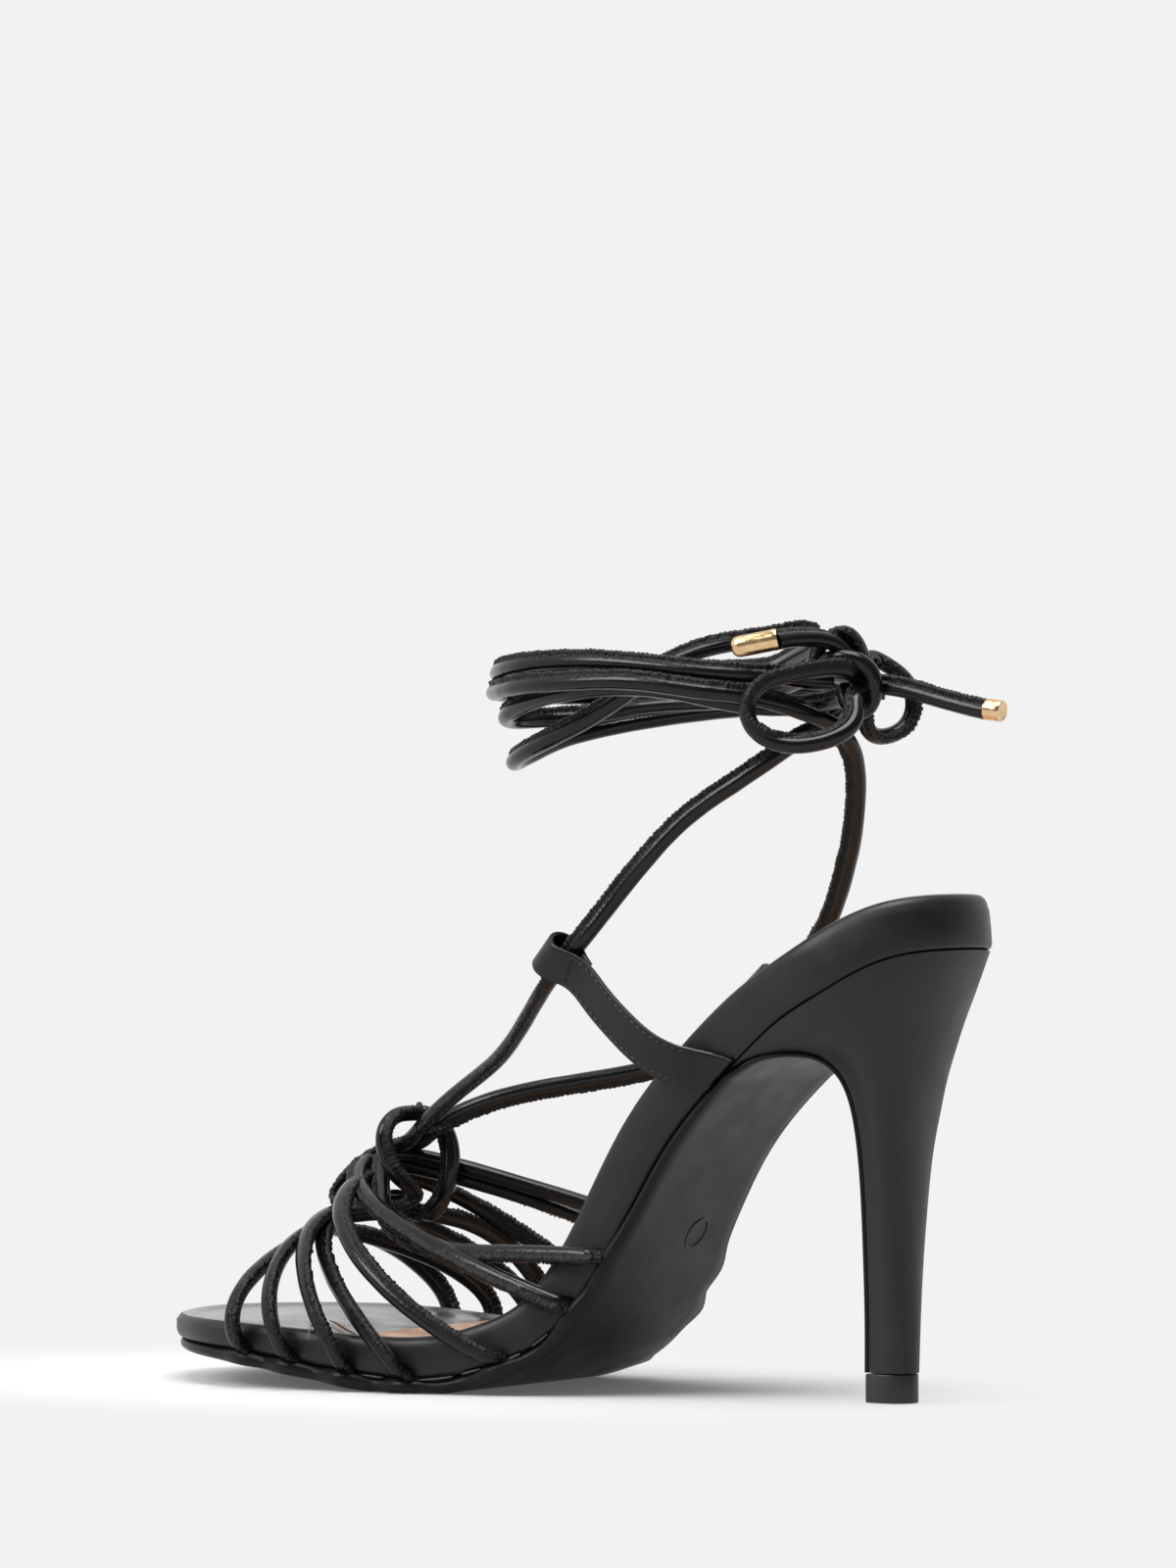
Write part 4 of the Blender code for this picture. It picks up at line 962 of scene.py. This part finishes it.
def make_loop_strap(node, band, eye, eye_axis, outward):
    """Flat stitched band from under the rim to an eye round the lace."""
    axis = unit(eye_axis)
    path, reach, at = smooth_path(loop_route(band, eye, axis, outward), BAND_SECTIONS)
    tangent = unit(np.gradient(path, axis=0))
    share = smooth_step(np.linspace(0.0, BAND_TWIST, len(path)), 0.0, 1.0)[:, None]
    across = square_to((1 - share) * UP + share * axis, tangent)
    through = np.cross(tangent, across)
    facing = np.sign(through[0, 0] * outward)
    section = band_section()
    rings = sweep(path, section[None, :, 0], section[None, :, 1], across, through)
    near = (np.clip(1 - at / BAND_FOOT_LENGTH, 0.0, 1.0) ** 2)[:, None, None]
    rings = near * loop_foot(section, outward, facing) + (1 - near) * rings
    rings = np.concatenate([[rings[0] - (BAND_BURIED * outward, 0.0, 0.0)], rings])
    which = np.zeros((len(rings) - 1, len(section)), dtype=int)
    if outward > 0:
        which[1:, BAND_RAW_FACES] = ((at > BAND_RAW[0]) & (at < BAND_RAW[1]))[:-1, None]
    piece(node + "_band", *loft(rings), ("band", "pale"), "black_satin", node, which.ravel())
    first = int(np.searchsorted(at, STITCH_START * BAND_FOOT_LENGTH))
    stop = int(np.searchsorted(at, reach[len(band) - 1]))
    stitches(node + "_stitches", loop_stitches(path, across, facing * through, first, stop))


# Small marks

def fine_line(name, points, radius, flat, finish, slot):
    """Thin round or flattened line through points, lying on the shoe."""
    path, _, _ = smooth_path(points, LINE_POINTS)
    tangent = unit(np.gradient(path, axis=0))
    side = unit(np.cross(tangent, UP))
    turn = np.linspace(0.0, 2 * np.pi, LINE_SIDES, endpoint=False)
    thick = radius * np.sin(np.linspace(LINE_END, np.pi - LINE_END, len(path)))[:, None] ** LINE_POWER
    rings = sweep(path, thick * np.cos(turn), flat * thick * np.sin(turn), side, np.cross(side, tangent))
    piece(name, *loft(rings), (finish,), slot)


def make_marks():
    """Loose thread, cut edge of the lining, dried glue and a plain ring."""
    for row in MARK_LINES:
        fine_line(*row, "beige_lining")
    for number, (start, end, height, radius) in enumerate(GLUE_ROWS, start=1):
        u = np.linspace(start, end, GLUE_POINTS)
        line = on_sole(sole_edges(u)[0] + GLUE_OUT, u, height)
        fine_line("glue_bead_%d" % number, line, radius, GLUE_FLAT, "glue", "black_rubber")
    turn = np.linspace(0.0, 2 * np.pi, RING_POINTS)
    along = RING_RADIUS / np.hypot(1.0, sole_slope(RING_U))
    ring = on_sole(RING_X + RING_RADIUS * np.cos(turn), RING_U + along * np.sin(turn), RING_DEPTH)
    fine_line("ring_mark", ring, RING_LINE, 1.0, "mark", "black_rubber")


# Lace and bow

def cord_piece(name, route, keys, node=None):
    """Rolled cord through the points of a route, and its path."""
    path, reach, at = smooth_path(route)
    return rolled_strap(name, path, seam_sides(keys, reach, at), node), path


def make_lace():
    whole = INNER_LACE[::-1] + OUTER_LACE
    last = len(INNER_LACE) - 1
    keys = [(last - i, way) for i, way in INNER_SEAM[::-1]] + [(last + 1 + i, way) for i, way in OUTER_SEAM]
    cord_piece("lace_cord", whole, keys, "lace")


def knot_way(point):
    """Place of a point that is given from the knot's centre."""
    turn = math.radians(CAMERA_TURN)
    right = np.array((-math.sin(turn), -math.cos(turn), 0.0))
    eye = np.array((math.cos(turn), -math.sin(turn), 0.0))
    return np.array(KNOT_CENTRE) + point[0] * right + point[1] * UP + point[2] * eye


def make_bow():
    """Knot, loops, ends and tips; loops and ends are free cords, and the first knot wrap stands for the
    knot.
    """
    wraps = []
    for number, (wrap, way) in enumerate(zip(KNOT_WRAPS, KNOT_SEAMS), start=1):
        obj, _ = cord_piece("bow_knot_wrap_%d" % number, [knot_way(p) for p in wrap], ((0, way),),
                            "bow_knot" if number == 1 else None)
        wraps.append(obj)
    carried = {"bow_loop_outer": wraps,
               "lace_end_front": [make_tip("lace_tip_front", FRONT_END[-1], FRONT_TIP, TIP_FOLDED)],
               "lace_end_back": [make_tip("lace_tip_back", BACK_END[-1], BACK_TIP, TIP_CUT)]}
    for name, route, keys, far_end in BOW_CORDS:
        obj, path = cord_piece(name + "_cord", route, keys, name)


def make_tip(node, start, end, end_rows):
    """Metal sleeve with a lapped seam and a folded or cut end."""
    begin = np.array(start)
    along = np.array(end) - begin
    size = np.linalg.norm(along)
    along = along / size
    side = unit(np.cross(along, UP))
    up = np.cross(side, along)
    profile = [(place, 0.0, radius) for place, radius in TIP_START] + [(TIP_MIDDLE * size, 0.0, 1.0)]
    profile += [(size - place, fold, radius) for place, fold, radius in end_rows]
    angle = 2 * np.pi * np.arange(TIP_SIDES) / TIP_SIDES
    ways = np.cos(angle)[:, None] * side + np.sin(angle)[:, None] * up
    notch = TIP_FOLD_DEPTH * np.maximum(0.0, np.cos(TIP_FOLDS * angle)) ** 3
    lap = 1 + TIP_LAP * smooth_step(angle, *TIP_LAP_RISE) * (1 - smooth_step(angle, *TIP_LAP_FALL))
    rings = []
    for reach, fold, radius in profile:
        size_here = TIP_RADIUS * radius * (1 - fold * notch) * lap
        rings.append(begin + reach * along + size_here[:, None] * ways)
    return piece(node + "_sleeve", *loft(rings), ("gold",), "gold_metal", node, sharp=40)


# Stage

def floor_finish():
    """Pale floor that takes shadow near the shoe and fades into the backdrop."""
    made, tree, main = shader("pale_floor", (FLOOR_SHADE,) * 3, Roughness=0.9, Specular_IOR_Level=0.0)
    glow = add_node(tree, "Emission", Color=(BACKDROP, BACKDROP, BACKDROP, 1.0))
    where = add_node(tree, "TexCoord")
    scale = (1 / FLOOR_RADII[0], 1 / FLOOR_RADII[1], 1.0)
    place = (-FLOOR_MIDDLE[0] * scale[0], -FLOOR_MIDDLE[1] * scale[1], 0.0)
    shape = add_node(tree, "Mapping", Location=place, Scale=scale)
    away = add_node(tree, "VectorMath")
    away.operation = "LENGTH"
    reach = add_node(tree, "MapRange", From_Min=FLOOR_FADE[0], From_Max=FLOOR_FADE[1], To_Min=FLOOR_GLOW)
    reach.interpolation_type = "SMOOTHSTEP"
    mixed = add_node(tree, "MixShader")
    join(tree, (where, "Object", shape, "Vector"), (shape, "Vector", away, 0),
         (away, "Value", reach, "Value"), (reach, "Result", mixed, 0), (main, "BSDF", mixed, 1),
         (glow, "Emission", mixed, 2), (mixed, "Shader", tree.nodes["Material Output"], "Surface"))
    return made


def make_world():
    """Studio: a white backdrop behind the shoe, darker on the near side."""
    world = bpy.data.worlds.new("studio")
    world.use_nodes = True
    tree = world.node_tree
    way = add_node(tree, "TexCoord")
    facing = add_node(tree, "VectorMath")
    facing.operation = "DOT_PRODUCT"
    facing.inputs[1].default_value = BACKDROP_WAY
    reach = add_node(tree, "MapRange", From_Min=BACKDROP_REACH[0], From_Max=BACKDROP_REACH[1],
                     To_Min=NEAR_SIDE, To_Max=BACKDROP)
    reach.interpolation_type = "SMOOTHSTEP"
    join(tree, (way, "Generated", facing, 0), (facing, "Value", reach, "Value"),
         (reach, "Result", tree.nodes["Background"], "Color"))
    bpy.context.scene.world = world


def put(name, data, where, way):
    """Lamp or camera at a place, looking one way."""
    obj = bpy.data.objects.new(name, data)
    obj.location = where
    obj.rotation_mode = "QUATERNION"
    obj.rotation_quaternion = way.to_track_quat("-Z", "Y")
    bpy.context.scene.collection.objects.link(obj)
    return obj


def make_stage():
    """Floor, backdrop and lamps."""
    mesh = bpy.data.meshes.new("floor")
    corners = ((-1, -1), (1, -1), (1, 1), (-1, 1))
    mesh.from_pydata([(x * FLOOR_HALF, y * FLOOR_HALF, -FLOOR_DROP) for x, y in corners], [], [(0, 1, 2, 3)])
    mesh.materials.append(floor_finish())
    floor = bpy.data.objects.new("floor", mesh)
    bpy.context.scene.collection.objects.link(floor)

    make_world()
    for name, where, size, power, mirrored in LAMPS:
        data = bpy.data.lights.new(name, "AREA")
        data.shape = "SQUARE"
        data.size = size
        data.energy = power
        put(name, data, where, Vector(LAMP_AIM) - Vector(where)).visible_glossy = mirrored
    bpy.context.scene.view_settings.view_transform = "Standard"


def make_camera():
    turn = math.radians(CAMERA_TURN)
    rise = math.radians(CAMERA_RISE)
    ahead = (-math.cos(turn) * math.cos(rise), -math.sin(turn) * math.cos(rise), math.sin(rise))
    data = bpy.data.cameras.new("camera")
    data.lens = CAMERA_LENS
    data.sensor_width = CAMERA_SENSOR
    data.clip_start, data.clip_end = CAMERA_CLIP
    bpy.context.scene.camera = put("camera", data, CAMERA_PLACE, Vector(ahead))


make_camera()
make_stage()
make_lace()
make_bow()
make_footbed()
make_outsole()
make_heel()
make_top_piece()
make_sock()
make_straps()
make_marks()
for strap in LOOP_STRAPS:
    make_loop_strap(*strap)
